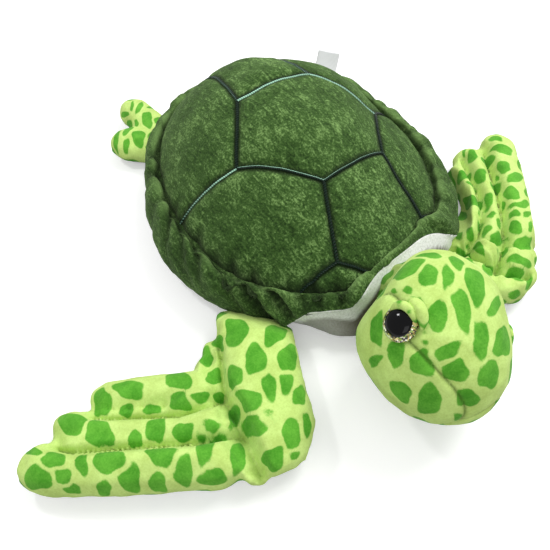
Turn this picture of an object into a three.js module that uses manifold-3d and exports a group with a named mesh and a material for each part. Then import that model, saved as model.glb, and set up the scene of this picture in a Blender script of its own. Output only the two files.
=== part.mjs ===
// Stuffed sea turtle resting flat on its belly.
// Millimetres, +Z up, head toward -Y, the turtle's left toward +X, origin under the belly's centre.
import * as THREE from 'three';
import { mergeVertices } from 'three/addons/utils/BufferGeometryUtils.js';
import Module from 'manifold-3d';

const wasm = await Module();
wasm.setup();
const { degToRad } = THREE.MathUtils;

// Driving sizes of the shell
const shellLength = 260;
const shellWidth = 208;
const seamHeight = 52;
const domeHeight = 65;
const rimOverhang = 16;
const bellySeamHeight = 8;
const bellySeamOverhang = 6;
const bellyFlatInset = 12;
const gatherDepth = 2;

// The white lining rises out of the belly's seam round the neck, a little higher on the left
const liningStart = 113;
const liningSlope = degToRad(58);
const liningTurn = degToRad(9);

// Fabric and the gaps at its seams
const fabricThickness = 2;
const pieceGap = 0.35;
const seamGap = 0.5;
const stuffingGap = 0.5;

// Neck and head
const neckRadius = 26;
const neckHeight = 36;
const neckForward = 151;
const neckSide = -10;
const neckOpeningRadius = 9;
const headLength = 112;
const headWidth = 94;
const headHeight = 98;
const headSide = -22;
const headForward = 38;
const headRise = 18;
const gussetWidth = 88;

// Eyes
const eyeRadius = 10;
const eyeDomeHeight = 5;
const irisThickness = 0.8;
const irisLip = 0.8;
const shankRadius = 2.5;
const shankLength = 12;
const shankRibDepth = 0.4;
const washerRadius = 8;
const washerThickness = 1.5;
const lidRadius = 3;
const lidStart = degToRad(-25);
const lidSweep = degToRad(155);

// Front flippers
const shoulderInset = 5;
const armRootRadius = 6;
const armLength = 58;
const armRootHalfWidth = 28;
const elbowRadius = 34;
const armThickness = 35;
const creaseRadius = 6.5;
const palmRearReach = 32;
const palmFrontReach = 40;
const palmThickness = 30;
const longFingerLength = 125;
const fingerSpacing = 26;
const fingerRadius = 14;

// Rear flippers
const rearRootRadius = 6;
const rearRootHalfWidth = 16;
const rearLength = 68;
const rearThickness = 28;
const mainLobeRadius = 20;
const smallLobeRadius = 15;

// Label and thread
const labelLength = 28;
const labelWidth = 21;
const labelThickness = 0.8;
const labelAngle = degToRad(122);
const labelLean = degToRad(45);
const threadRadius = 1.1;
const threadStep = 22;

// Ranges of the joints, which the clearances follow
const rightShoulderRange = { lift: degToRad(30), droop: degToRad(8) };
const leftShoulderRange = { lift: degToRad(20), droop: degToRad(8) };
const rightFoldRange = { lift: degToRad(45), droop: degToRad(10) };
const leftFoldRange = { lift: degToRad(20), droop: degToRad(10) };
const hipRange = { lift: degToRad(30), droop: degToRad(8) };
const headTurnRange = { left: degToRad(20), right: degToRad(6) };
const headNodRange = { down: degToRad(4), up: degToRad(15) };
const swellAngle = degToRad(42);

// Facet counts
const shellColumns = 30;
const headColumns = 20;
const headRows = 10;
const neckColumns = 12;
const neckRows = 6;
const socketColumns = 20;
const socketRows = 10;
const barSides = 8;
const rootSteps = 4;
const threadSides = 4;
const eyeSides = 12;
const lidSides = 6;
const lidSteps = 8;

const halfLength = shellLength / 2;
const halfWidth = shellWidth / 2;
const lining = fabricThickness + stuffingGap;
const turtle = new THREE.Group();

// Materials

function material(color, roughness, metalness = 0) {
  return new THREE.MeshStandardMaterial({ color, roughness, metalness });
}

const darkPlush = material('#2f5a2a', 0.95);
const whitePlush = material('#f1f1ee', 0.95);
const printedPlush = material('#a9d257', 0.9);
const filling = material('#fbfbf8', 1);
const thread = material('#1c4a35', 0.5);
const ribbon = material('#f6f6f6', 0.7);
const blackPlastic = material('#0b0b0d', 0.08);
const goldGlitter = material('#c79a3b', 0.35, 0.7);
const clearPlastic = material('#e4e6e2', 0.5);

// Solids from point rings; a ring of one point is a pole

function surfaceFromRings(rings, closesOnItself = false) {
  const places = [];
  const add = (...points) => points.forEach((point) => places.push(...point));
  const bands = closesOnItself ? rings.length : rings.length - 1;
  for (let i = 0; i < bands; i += 1) {
    const above = rings[i];
    const below = rings[(i + 1) % rings.length];
    const count = Math.max(above.length, below.length);
    for (let j = 0; j < count; j += 1) {
      const k = (j + 1) % count;
      const [a, b] = above.length === 1 ? [above[0], above[0]] : [above[j], above[k]];
      const [c, d] = below.length === 1 ? [below[0], below[0]] : [below[j], below[k]];
      if (below.length > 1) add(a, c, d);
      if (above.length > 1) add(a, d, b);
    }
  }
  const geometry = new THREE.BufferGeometry();
  geometry.setAttribute('position', new THREE.Float32BufferAttribute(places, 3));
  return geometry;
}

function toSolid(geometry) {
  const bare = geometry.clone();
  for (const name of Object.keys(bare.attributes)) {
    if (name !== 'position') bare.deleteAttribute(name);
  }
  const merged = mergeVertices(bare);
  const corners = merged.index.array;
  const kept = [];
  for (let i = 0; i < corners.length; i += 3) {
    const [a, b, c] = corners.slice(i, i + 3);
    if (a !== b && b !== c && c !== a) kept.push(a, b, c);
  }
  return new wasm.Manifold(new wasm.Mesh({
    numProp: 3,
    vertProperties: Float32Array.from(merged.attributes.position.array),
    triVerts: Uint32Array.from(kept),
  }));
}

function toGeometry(solid) {
  const mesh = solid.getMesh();
  const geometry = new THREE.BufferGeometry();
  geometry.setAttribute('position', new THREE.BufferAttribute(mesh.vertProperties, mesh.numProp));
  geometry.setIndex(new THREE.BufferAttribute(mesh.triVerts, 1));
  const faceted = geometry.toNonIndexed();
  faceted.computeVertexNormals();
  return faceted;
}

function placed(solid, matrix) {
  return toSolid(toGeometry(solid).applyMatrix4(matrix));
}

function union(solids) {
  return solids.reduce((whole, next) => whole.add(next));
}

function less(solid, cutters) {
  return cutters.reduce((rest, cutter) => rest.subtract(cutter), solid);
}

function addMesh(group, name, solid, look) {
  const mesh = new THREE.Mesh(toGeometry(solid), look);
  mesh.name = name;
  group.add(mesh);
}

function box(lowCorner, highCorner) {
  const low = new THREE.Vector3(...lowCorner);
  const high = new THREE.Vector3(...highCorner);
  const size = high.clone().sub(low);
  const middle = high.add(low).multiplyScalar(1 / 2);
  return toSolid(new THREE.BoxGeometry(...size).translate(...middle));
}

function ball(radii, columns, rows) {
  const sphere = new THREE.SphereGeometry(1, columns, rows).rotateX(Math.PI / 2);
  return toSolid(sphere.scale(...radii));
}

// The shell's outline: an ellipse, with an angle that starts at the front and runs to the left side

function outlinePoint(angle, extra) {
  return [(halfWidth + extra) * Math.sin(angle), -(halfLength + extra) * Math.cos(angle)];
}

function outlineNormal(angle, extra) {
  const across = Math.sin(angle) / (halfWidth + extra);
  const along = -Math.cos(angle) / (halfLength + extra);
  return new THREE.Vector2(across, along).normalize();
}

// The dome is a little fuller toward the tail
const domeRearShare = 0.35;
const domeRoundness = 2.1;
const domeFullness = 1.1;

function domeRise(across, along) {
  const share = Math.min(Math.hypot(across, along), 1);
  const crown = (1 - share ** domeRoundness) ** domeFullness;
  return seamHeight + domeHeight * crown * (1 + domeRearShare * along);
}

// Stations from the crown over the rim to the belly's centre
const domeShares = [0, 0.3, 0.55, 0.77, 0.93, 1];
const rimShares = [[0, 1], [0.3, 1.02], [0.62, 0.9], [0.9, 0.6], [1, 0.3], [0.85, 0.08]];
const bellyFlatShares = [0.5, 0];

function shellStations() {
  const rimRise = seamHeight - bellySeamHeight;
  const dome = domeShares.map((share) => ({ share, out: 0, dome: true }));
  const rim = rimShares.map(([outShare, riseShare], index) => ({
    share: 1,
    out: outShare * rimOverhang,
    height: bellySeamHeight + riseShare * rimRise,
    gathered: index > 0,
  }));
  const belly = [
    { share: 1, out: bellySeamOverhang, height: bellySeamHeight },
    { share: 1, out: -bellySeamOverhang / 2, height: bellySeamHeight / 4 },
    { share: 1, out: -bellyFlatInset, height: 0 },
    ...bellyFlatShares.map((share) => ({ share, out: 0, height: 0 })),
  ];
  return [...dome, ...rim.slice(1), ...belly];
}

const stations = shellStations();
const domeEnd = domeShares.length - 1;

// The rim is gathered onto the dome with two families of puckers
const gatherCounts = [6, 11];

function gather(angle) {
  const [broad, narrow] = gatherCounts;
  return (2 + Math.sin(broad * angle) + Math.sin(narrow * angle + 1)) / 4;
}

function stationPoint(index, angle, puckered) {
  const { share, out, height, dome, gathered } = stations[index];
  const puffed = puckered && gathered ? out + gatherDepth * gather(angle) : out;
  const across = share * Math.sin(angle);
  const along = -share * Math.cos(angle);
  const z = dome ? domeRise(across, along) : height;
  return new THREE.Vector3(
    across * halfWidth + puffed * Math.sin(angle),
    along * halfLength - puffed * Math.cos(angle),
    z,
  );
}

// A point under the surface, set in square to the surface's own profile
function insetPoint(index, angle, { inset, puckered }) {
  const outward = new THREE.Vector3(Math.sin(angle), -Math.cos(angle), 0);
  const last = stations.length - 1;
  const before = stationPoint(Math.max(index - 1, 0), angle, puckered);
  const after = stationPoint(Math.min(index + 1, last), angle, puckered);
  const along = after.sub(before);
  const run = index === 0 ? 1 : along.dot(outward);
  const drop = index === 0 || index === last ? 0 : along.z;
  const length = Math.hypot(run, drop);
  const place = stationPoint(index, angle, puckered);
  place.addScaledVector(outward, (inset * drop) / length);
  place.z -= (inset * run) / length;
  return place;
}

function stationRing(index, layer, trimToward = index) {
  const pole = stations[index].share === 0;
  const count = pole ? 1 : shellColumns;
  return Array.from({ length: count }, (_, column) => {
    const angle = (2 * Math.PI * column) / shellColumns;
    const place = insetPoint(index, angle, layer);
    if (trimToward !== index) {
      const next = insetPoint(trimToward, angle, layer);
      place.lerp(next, seamGap / 2 / place.distanceTo(next));
    }
    return place.toArray();
  });
}

// One sewn panel of the shell: an outer face, an inner face and the cut edges between them
function shellPanel(first, last) {
  const indices = Array.from({ length: last - first + 1 }, (_, step) => first + step);
  const trim = (index) => {
    if (index === first && stations[first].share > 0) return first + 1;
    if (index === last && stations[last].share > 0) return last - 1;
    return index;
  };
  const face = (inset) => {
    const layer = { inset, puckered: true };
    return indices.map((index) => stationRing(index, layer, trim(index)));
  };
  const outer = face(0);
  const inner = face(fabricThickness).reverse();
  if (stations[last].share === 0) return toSolid(surfaceFromRings([...inner, ...outer]));
  return toSolid(surfaceFromRings([...outer, ...inner], stations[first].share > 0));
}

// The shell's whole outer form
function shellBody(inset, puckered = false) {
  const layer = { inset, puckered };
  return toSolid(surfaceFromRings(stations.map((_, index) => stationRing(index, layer))));
}

// The room that the shell's outside takes, with a layer of a limb's own fabric laid on it
const envelopes = new Map();

function envelope(layer) {
  if (!envelopes.has(layer)) envelopes.set(layer, shellBody(-(pieceGap + gatherDepth + layer)));
  return envelopes.get(layer);
}

// A hinge's clearance, or a limb's own swell from its root: a round root with two slopes outward.
// The root's axis runs along Y at the root's own height.
function rootPrism({ height, radius, rise, drop, halfSpan, reach }) {
  const start = Math.PI / 2 + rise;
  const sweep = Math.PI - rise - drop;
  const corner = (angle, x, y) => [x + radius * Math.cos(angle), y + radius * Math.sin(angle)];
  const outline = Array.from({ length: rootSteps + 1 }, (_, step) => (
    new THREE.Vector2(...corner(start + (sweep * step) / rootSteps, 0, 0))
  ));
  outline.push(new THREE.Vector2(...corner(start + sweep, reach * Math.cos(drop), -reach * Math.sin(drop))));
  outline.push(new THREE.Vector2(...corner(start, reach * Math.cos(rise), reach * Math.sin(rise))));
  const prism = new THREE.ExtrudeGeometry(new THREE.Shape(outline), { depth: 2 * halfSpan, bevelEnabled: false });
  return toSolid(prism.rotateX(Math.PI / 2).translate(0, halfSpan, height));
}

// A stuffed bar from one place to another, fullest halfway, rounded at both ends and flattened in height
const capShares = [[-1, 0], [-0.75, 0.66]];
const fullnessShares = [[0, 1], [0.5, 1.04], [1, 1]];

function bar({ from, to, startRadius, endRadius, thickness }, inset) {
  const start = new THREE.Vector3(...from, thickness / 2);
  const end = new THREE.Vector3(...to, thickness / 2);
  const along = end.clone().sub(start);
  const length = along.length();
  along.normalize();
  const side = along.clone().cross(new THREE.Vector3(0, 0, 1));
  const ring = (at, radius, share) => Array.from({ length: share === 0 ? 1 : barSides }, (_, index) => {
    const angle = (2 * Math.PI * index) / barSides;
    const place = start.clone().addScaledVector(along, at);
    place.addScaledVector(side, share * (radius - inset) * Math.cos(angle));
    place.z += Math.min(share, 1) * (thickness / 2 - inset) * Math.sin(angle);
    return place.toArray();
  });
  const near = capShares.map(([at, share]) => ring(at * (startRadius - inset), startRadius, share));
  const waist = fullnessShares.map(([at, share]) => (
    ring(length * at, startRadius + (endRadius - startRadius) * at, share)
  ));
  const far = capShares.map(([at, share]) => ring(length - at * (endRadius - inset), endRadius, share));
  return toSolid(surfaceFromRings([...near, ...waist, ...far.reverse()]));
}

// A limb: stuffed bars, flat underneath, that thin out toward the root where they are sewn on
function addLimb(group, name, { bars, rootRadius, cutters, seam }) {
  const reach = 2 * longFingerLength;
  const swell = { height: rootRadius, rise: swellAngle, drop: 0, halfSpan: reach, reach };
  const solid = (inset) => {
    const prism = rootPrism({ ...swell, radius: rootRadius - inset });
    const above = box([-reach, -reach, inset], [reach, reach, reach]);
    return less(union(bars.map((each) => bar(each, inset))).intersect(prism).intersect(above), cutters(inset));
  };
  const cover = solid(0).subtract(solid(fabricThickness));
  const high = box([-reach, -reach, seam + seamGap / 2], [reach, reach, reach]);
  const low = box([-reach, -reach, -reach], [reach, reach, seam - seamGap / 2]);
  addMesh(group, `${name}_top_cover`, cover.intersect(high), printedPlush);
  addMesh(group, `${name}_under_cover`, cover.intersect(low), whitePlush);
  addMesh(group, `${name}_stuffing`, solid(lining), filling);
}

function groupAt(parent, x, y, z, turn = 0) {
  const group = new THREE.Group();
  group.position.set(x, y, z);
  group.rotation.z = turn;
  parent.add(group);
  turtle.updateMatrixWorld(true);
  return group;
}

// Where a limb's root sits on the rim: its place, and the way that it points
function limbRoot(angle, inset) {
  const [x, y] = outlinePoint(angle, rimOverhang);
  const normal = outlineNormal(angle, rimOverhang);
  return { x: x - inset * normal.x, y: y - inset * normal.y, turn: Math.atan2(normal.y, normal.x) };
}

// A limb swings up and down about an axis along Y; a neighbour is carved out of it at each of these angles
function swingAngles({ lift, droop }) {
  return [-droop, 0, lift];
}

function swung(solid, hingeHeight, angle) {
  const out = new THREE.Matrix4().makeTranslation(0, 0, hingeHeight);
  const back = new THREE.Matrix4().makeTranslation(0, 0, -hingeHeight);
  return placed(solid, out.multiply(new THREE.Matrix4().makeRotationY(angle)).multiply(back));
}

// What the limbs and the neck take out of the shell
const shellCutters = [];

function keepClearOfShell(group, rootRadius, range, halfWidthOfRoot) {
  const clearance = rootPrism({
    height: rootRadius,
    radius: rootRadius + pieceGap,
    rise: swellAngle + range.lift,
    drop: range.droop,
    halfSpan: halfWidthOfRoot + rootRadius,
    reach: longFingerLength,
  });
  shellCutters.push(placed(clearance, group.matrixWorld));
  const inward = group.matrixWorld.clone().invert();
  return (layer) => {
    const open = placed(envelope(layer), inward).subtract(clearance);
    return swingAngles(range).map((angle) => swung(open, rootRadius, angle));
  };
}

// Front flippers: places as shares of the arm's length, outward and forward, and the hand's own turn
const frontPoses = [{
  side: -1,
  name: 'right',
  shoulder: degToRad(51),
  shoulderRange: rightShoulderRange,
  foldRange: rightFoldRange,
  rootShares: [0, -0.12],
  elbowShares: [1.4, 0.42],
  creaseShares: [1.27, 0.01],
  palmFrontShare: 1,
  palmRearShare: 1,
  spreadShare: 1,
  bend: degToRad(45),
}, {
  side: 1,
  name: 'left',
  shoulder: degToRad(36),
  shoulderRange: leftShoulderRange,
  foldRange: leftFoldRange,
  rootShares: [0, 0.5],
  elbowShares: [0.46, 0.61],
  creaseShares: [0.3, 0.29],
  palmFrontShare: 0.6,
  palmRearShare: 0.5,
  spreadShare: 0.8,
  bend: degToRad(77),
}];
const flipperSeamShare = 0.44;

// Fingers: root along and across, tip along and across, and radius,
// as shares of the longest finger, of the spacing between fingers and of the finger's radius
const fingerShares = [
  { rootShares: [0.14, 1.02], tipShares: [0.6, 1.78], radiusShare: 0.96 },
  { rootShares: [0.15, -0.35], tipShares: [0.83, 1.3], radiusShare: 0.96 },
  { rootShares: [0.15, -1.25], tipShares: [1, 0.52], radiusShare: 1.15 },
];

// The palm's middle, which the fingers grow out of
const heelShares = [0.16, -0.1];

function handBars({ side, spreadShare, palmFrontShare, palmRearShare }) {
  const palm = {
    from: [0, -side * palmFrontShare * palmFrontReach],
    to: [0, side * palmRearShare * palmRearReach],
    startRadius: fingerRadius,
    endRadius: fingerRadius,
    thickness: palmThickness,
  };
  const spacing = side * spreadShare * fingerSpacing;
  const place = ([along, across]) => [along * longFingerLength, across * spacing];
  const fingers = fingerShares.map(({ rootShares, tipShares, radiusShare }) => ({
    from: place(rootShares),
    to: place(tipShares),
    startRadius: radiusShare * fingerRadius,
    endRadius: radiusShare * fingerRadius,
    thickness: 2 * radiusShare * fingerRadius,
  }));
  const heel = {
    from: [0, 0],
    to: place(heelShares),
    startRadius: palmRearShare * palmRearReach,
    endRadius: palmRearReach,
    thickness: palmThickness,
  };
  return [palm, heel, ...fingers];
}

function armBars(root, elbow, crease) {
  const upper = { from: root, to: elbow, startRadius: armRootHalfWidth, endRadius: elbowRadius };
  const lower = { from: elbow, to: crease, startRadius: elbowRadius, endRadius: elbowRadius };
  return [{ ...upper, thickness: armThickness }, { ...lower, thickness: armThickness }];
}

function addFrontFlipper(pose) {
  const { side, name, shoulder, shoulderRange, foldRange, bend } = pose;
  const root = limbRoot(side * shoulder, shoulderInset);
  const arm = groupAt(turtle, root.x, root.y, 0, root.turn);
  const [start, elbow, crease] = [pose.rootShares, pose.elbowShares, pose.creaseShares].map(
    ([out, forward]) => [out * armLength, -side * forward * armLength],
  );
  const hand = groupAt(arm, ...crease, 0, side * bend);
  const handClearance = (inset) => placed(rootPrism({
    height: creaseRadius,
    radius: creaseRadius + pieceGap + inset,
    rise: swellAngle + foldRange.lift,
    drop: foldRange.droop,
    halfSpan: 2 * elbowRadius,
    reach: 2 * elbowRadius,
  }), hand.matrix);
  const shellForArm = keepClearOfShell(arm, armRootRadius, shoulderRange, armRootHalfWidth);
  addLimb(arm, `${name}_arm`, {
    bars: armBars(start, elbow, crease),
    rootRadius: armRootRadius,
    cutters: (inset) => [handClearance(inset), ...shellForArm(inset)],
    seam: flipperSeamShare * armThickness,
  });
  const shellForHand = (inset) => shellForArm(inset).flatMap((solid) => {
    const seen = placed(solid, hand.matrix.clone().invert());
    return swingAngles(foldRange).map((angle) => swung(seen, creaseRadius, angle));
  });
  addLimb(hand, `${name}_hand`, {
    bars: handBars(pose),
    rootRadius: creaseRadius,
    cutters: shellForHand,
    seam: flipperSeamShare * palmThickness,
  });
}

// Rear flippers: a broad main lobe and a small lobe beside it, as shares of the flipper's length
const rearPoses = [
  { side: -1, name: 'right', hip: degToRad(157), sweep: 0 },
  { side: 1, name: 'left', hip: degToRad(138), sweep: degToRad(20) },
];
const lobeShares = { main: [0.66, 0.13], small: [1.04, -0.5] };

function addRearFlipper({ side, name, hip, sweep }) {
  const root = limbRoot(side * hip, shoulderInset);
  const leg = groupAt(turtle, root.x, root.y, 0, root.turn + side * sweep);
  const lobe = ([out, across], endRadius) => ({
    from: [0, 0],
    to: [out * rearLength, -side * across * rearLength],
    startRadius: rearRootHalfWidth,
    endRadius,
    thickness: rearThickness,
  });
  const shell = keepClearOfShell(leg, rearRootRadius, hipRange, rearRootHalfWidth);
  addLimb(leg, `${name}_rear_flipper`, {
    bars: [lobe(lobeShares.main, mainLobeRadius), lobe(lobeShares.small, smallLobeRadius)],
    rootRadius: rearRootRadius,
    cutters: shell,
    seam: flipperSeamShare * rearThickness,
  });
}

frontPoses.forEach(addFrontFlipper);
rearPoses.forEach(addRearFlipper);

// Neck: a stuffed ball that the shell and the head both close round
function neckBall(radius) {
  return ball([radius, radius, radius], neckColumns, neckRows);
}

// The socket's facets lie outside the ball through every turn
function neckSocket(inset) {
  const facetShare = Math.cos(Math.PI / socketColumns) * Math.cos(Math.PI / socketRows / 2);
  const radius = (neckRadius + pieceGap + inset) / facetShare;
  return ball([radius, radius, radius], socketColumns, socketRows);
}

function addNeck() {
  const neck = groupAt(turtle, neckSide, -neckForward, neckHeight);
  const opening = box(
    [-neckOpeningRadius, 0, -neckOpeningRadius],
    [neckOpeningRadius, 2 * neckRadius, neckOpeningRadius],
  );
  const cover = neckBall(neckRadius).subtract(neckBall(neckRadius - fabricThickness)).subtract(opening);
  addMesh(neck, 'neck_cover', cover, printedPlush);
  addMesh(neck, 'neck_stuffing', neckBall(neckRadius - lining), filling);
  shellCutters.push(placed(neckSocket(0), neck.matrixWorld));
  return neck;
}

// Head: an egg that rests with its right side up, turned toward its right
const headTurn = degToRad(-30);
const headPitch = degToRad(10);
const headRoll = degToRad(38);
const eyeRaise = degToRad(20.5);
const eyeBack = degToRad(83.5);

function headEgg(inset) {
  const radii = [headWidth, headLength, headHeight].map((size) => size / 2 - inset);
  return ball(radii, headColumns, headRows);
}

// The egg's rear end is left out above the neck, where the head is sewn shut
const headBackShare = 0.84;

function behindHead(inset) {
  const back = (headBackShare * headLength) / 2 - inset;
  return box([-headLength, back, -headLength], [headLength, headLength, headLength]);
}

// The shell as the head meets it through its turns and nods about the neck's centre
function shellForHead(neck, head, inset) {
  const inward = head.matrixWorld.clone().invert();
  const out = neck.matrixWorld;
  const back = out.clone().invert();
  const turns = [-headTurnRange.right, headTurnRange.left];
  const nods = [-headNodRange.up, headNodRange.down];
  const poses = [[0, 0], ...turns.flatMap((turn) => nods.map((nod) => [turn, nod]))];
  return poses.map(([turn, nod]) => {
    const swing = new THREE.Matrix4().makeRotationZ(-turn).multiply(new THREE.Matrix4().makeRotationX(-nod));
    return placed(envelope(inset), inward.clone().multiply(out).multiply(swing).multiply(back));
  });
}

// The crown gusset, seen from above: widest at the eyes, ending in a point at the nose
const gussetNapeShare = 0.45;
const gussetEyeShares = [0.2, 0.33];
const gussetNoseShares = [0.75, 0.75];

function gussetPrism(extra) {
  const half = headLength / 2;
  const wide = gussetWidth / 2 + extra;
  const nape = gussetNapeShare * gussetWidth + extra;
  const nose = -half - extra;
  const [eyeShare, backShare] = gussetEyeShares;
  const [besideShare, frontShare] = gussetNoseShares;
  const outline = new THREE.Shape();
  outline.moveTo(-nape, half);
  outline.quadraticCurveTo(-wide, backShare * half, -wide, -eyeShare * half);
  outline.quadraticCurveTo(-besideShare * wide, -frontShare * half, -extra, nose);
  outline.lineTo(extra, nose);
  outline.quadraticCurveTo(besideShare * wide, -frontShare * half, wide, -eyeShare * half);
  outline.quadraticCurveTo(wide, backShare * half, nape, half);
  return toSolid(new THREE.ExtrudeGeometry(outline, { depth: headHeight, bevelEnabled: false, curveSegments: 4 }));
}

function eyePlace(side) {
  const lift = Math.sin(eyeRaise) * Math.sin(eyeBack);
  const across = Math.cos(eyeRaise) * Math.sin(eyeBack);
  const direction = new THREE.Vector3(side * across, -Math.cos(eyeBack), lift);
  const radii = new THREE.Vector3(headWidth, headLength, headHeight).divideScalar(2);
  const reach = 1 / direction.clone().divide(radii).length();
  const place = direction.multiplyScalar(reach);
  const normal = place.clone().divide(radii).divide(radii).normalize();
  const spin = new THREE.Quaternion().setFromUnitVectors(new THREE.Vector3(0, 0, 1), normal);
  return new THREE.Matrix4().compose(place, spin, new THREE.Vector3(1, 1, 1));
}

// Turned pieces: a profile of radius and height from the axis, or round and back to its own start
function turned(profile) {
  const points = profile.map(([radius, height]) => new THREE.Vector2(radius, height));
  return toSolid(new THREE.LatheGeometry(points, eyeSides).rotateX(Math.PI / 2));
}

function washer(innerRadius, outerRadius, low, high) {
  const profile = [[innerRadius, low], [outerRadius, low], [outerRadius, high], [innerRadius, high]];
  return turned([...profile, profile[0]]);
}

function plug(radius, low, high) {
  return turned([[0, low], [radius, low], [radius, high], [0, high]]);
}

// How far the head's surface falls away under a flat disc
function headSag(radius) {
  return radius ** 2 / headWidth;
}

// The eye's black dome with its ribbed shank, from the shank's end up to the crown of the dome
const shankRibs = 2;
const domeSteps = 4;

function eyeDome(seat) {
  const neckOfRib = shankRadius - shankRibDepth;
  const profile = [[0, -shankLength], [neckOfRib, -shankLength]];
  const pitch = (shankLength - fabricThickness) / shankRibs;
  for (let rib = 0; rib < shankRibs; rib += 1) {
    const low = -shankLength + rib * pitch;
    profile.push([shankRadius, low + pitch / 3], [shankRadius, low + 2 * pitch / 3], [neckOfRib, low + pitch]);
  }
  profile.push([neckOfRib, seat], [eyeRadius, seat]);
  for (let step = 1; step < domeSteps; step += 1) {
    const angle = (Math.PI * step) / domeSteps / 2;
    profile.push([eyeRadius * Math.cos(angle), seat + eyeDomeHeight * Math.sin(angle)]);
  }
  profile.push([0, seat + eyeDomeHeight]);
  return turned(profile);
}

// A padded fabric crescent that lies over the back and top of the eye, thickest halfway
const lidEndShare = 0.25;

function eyelid(side) {
  const first = side < 0 ? lidStart : Math.PI - lidStart - lidSweep;
  const arcRadius = eyeRadius + irisLip + pieceGap + lidRadius;
  const height = lidRadius - headSag(arcRadius);
  const up = new THREE.Vector3(0, 0, 1);
  const ringAt = (step) => {
    const share = step / lidSteps;
    const angle = first + lidSweep * share;
    const radius = lidRadius * (lidEndShare + (1 - lidEndShare) * Math.sin(Math.PI * share));
    const side = new THREE.Vector3(Math.cos(angle), Math.sin(angle), 0);
    const middle = side.clone().multiplyScalar(arcRadius).addScaledVector(up, height);
    return {
      middle: middle.toArray(),
      ring: Array.from({ length: lidSides }, (_, index) => {
        const around = (2 * Math.PI * index) / lidSides;
        return middle.clone()
          .addScaledVector(side, radius * Math.cos(around))
          .addScaledVector(up, radius * Math.sin(around)).toArray();
      }),
    };
  };
  const rings = Array.from({ length: lidSteps + 1 }, (_, step) => ringAt(step));
  const closed = [[rings[0].middle], ...rings.map(({ ring }) => ring), [rings[lidSteps].middle]];
  return toSolid(surfaceFromRings(closed));
}

function addEye(group, side) {
  const name = side < 0 ? 'right' : 'left';
  const matrix = eyePlace(side);
  const irisTop = pieceGap + irisThickness;
  const facetSag = headWidth * (1 - Math.cos(Math.PI / headColumns));
  const washerTop = -fabricThickness - pieceGap - headSag(washerRadius) - facetSag;
  const shankHole = shankRadius + pieceGap;
  const add = (piece, solid, look) => addMesh(group, `${name}_${piece}`, placed(solid, matrix), look);
  add('iris_ring', washer(shankHole, eyeRadius + irisLip, pieceGap, irisTop), goldGlitter);
  add('eye_dome', eyeDome(irisTop + pieceGap), blackPlastic);
  add('eye_washer', washer(shankHole, washerRadius, washerTop - washerThickness, washerTop), clearPlastic);
  const lid = placed(eyelid(side), matrix).subtract(headEgg(-pieceGap));
  addMesh(group, `${name}_eyelid`, lid, printedPlush);
}

function addHead(neck) {
  const posed = groupAt(neck, headSide, -headForward, headRise);
  posed.rotation.set(headPitch, headRoll, headTurn, 'ZXY');
  turtle.updateMatrixWorld(true);
  const socketPlace = posed.matrix.clone().invert();
  const solid = (inset) => less(headEgg(inset), [
    placed(neckSocket(inset), socketPlace), behindHead(inset), ...shellForHead(neck, posed, inset),
  ]);
  const places = [eyePlace(-1), eyePlace(1)];
  const holes = places.map((place) => placed(plug(shankRadius + pieceGap, -shankLength, eyeRadius), place));
  const depth = shankLength + pieceGap;
  const pockets = places.map((place) => placed(plug(washerRadius + pieceGap, -depth, 0), place));
  const skin = less(solid(0).subtract(solid(fabricThickness)), holes);
  const rightHalf = box([-headLength, -headLength, -headLength], [-seamGap / 2, headLength, headLength]);
  const leftHalf = box([seamGap / 2, -headLength, -headLength], [headLength, headLength, headLength]);
  const sides = skin.subtract(gussetPrism(seamGap));
  addMesh(posed, 'head_gusset', skin.intersect(gussetPrism(0)), printedPlush);
  addMesh(posed, 'head_right_panel', sides.intersect(rightHalf), printedPlush);
  addMesh(posed, 'head_left_panel', sides.intersect(leftHalf), printedPlush);
  addMesh(posed, 'head_stuffing', less(solid(lining), pockets), filling);
  addEye(posed, -1);
  addEye(posed, 1);
}

addHead(addNeck());

// Embroidered scutes: corners as shares of the shell's half width and half length
const scuteCornerShares = {
  rearRight: [-0.26, 0.153],
  sideRight: [-0.547, -0.128],
  frontRight: [-0.154, -0.505],
  frontLeft: [0.394, -0.5],
  sideLeft: [0.697, -0.18],
  rearLeft: [0.317, 0.092],
  browRight: [-0.372, -0.817],
  browLeft: [0.332, -0.877],
};
const scuteEdges = [
  ['rearRight', 'sideRight'], ['sideRight', 'frontRight'], ['frontRight', 'frontLeft'],
  ['frontLeft', 'sideLeft'], ['sideLeft', 'rearLeft'], ['rearLeft', 'rearRight'],
  ['frontRight', 'browRight'], ['frontLeft', 'browLeft'],
];
// Lines that run out to the rim, with the outline angle in degrees where each one ends
const scuteSpokes = [
  ['rearRight', -176], ['sideRight', -93], ['browRight', -40], ['browRight', -11.5],
  ['browLeft', 11], ['browLeft', 26], ['sideLeft', 87], ['rearLeft', 158],
];
const spokeEndShare = 0.975;
const slopeProbeShare = 0.004;

function threadPoint([across, along]) {
  const height = domeRise(across, along);
  const slopeX = (domeRise(across + slopeProbeShare, along) - height) / (slopeProbeShare * halfWidth);
  const slopeY = (domeRise(across, along + slopeProbeShare) - height) / (slopeProbeShare * halfLength);
  const normal = new THREE.Vector3(-slopeX, -slopeY, 1).normalize();
  const place = new THREE.Vector3(across * halfWidth, along * halfLength, height);
  return { place: place.addScaledVector(normal, threadRadius + pieceGap), normal };
}

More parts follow.
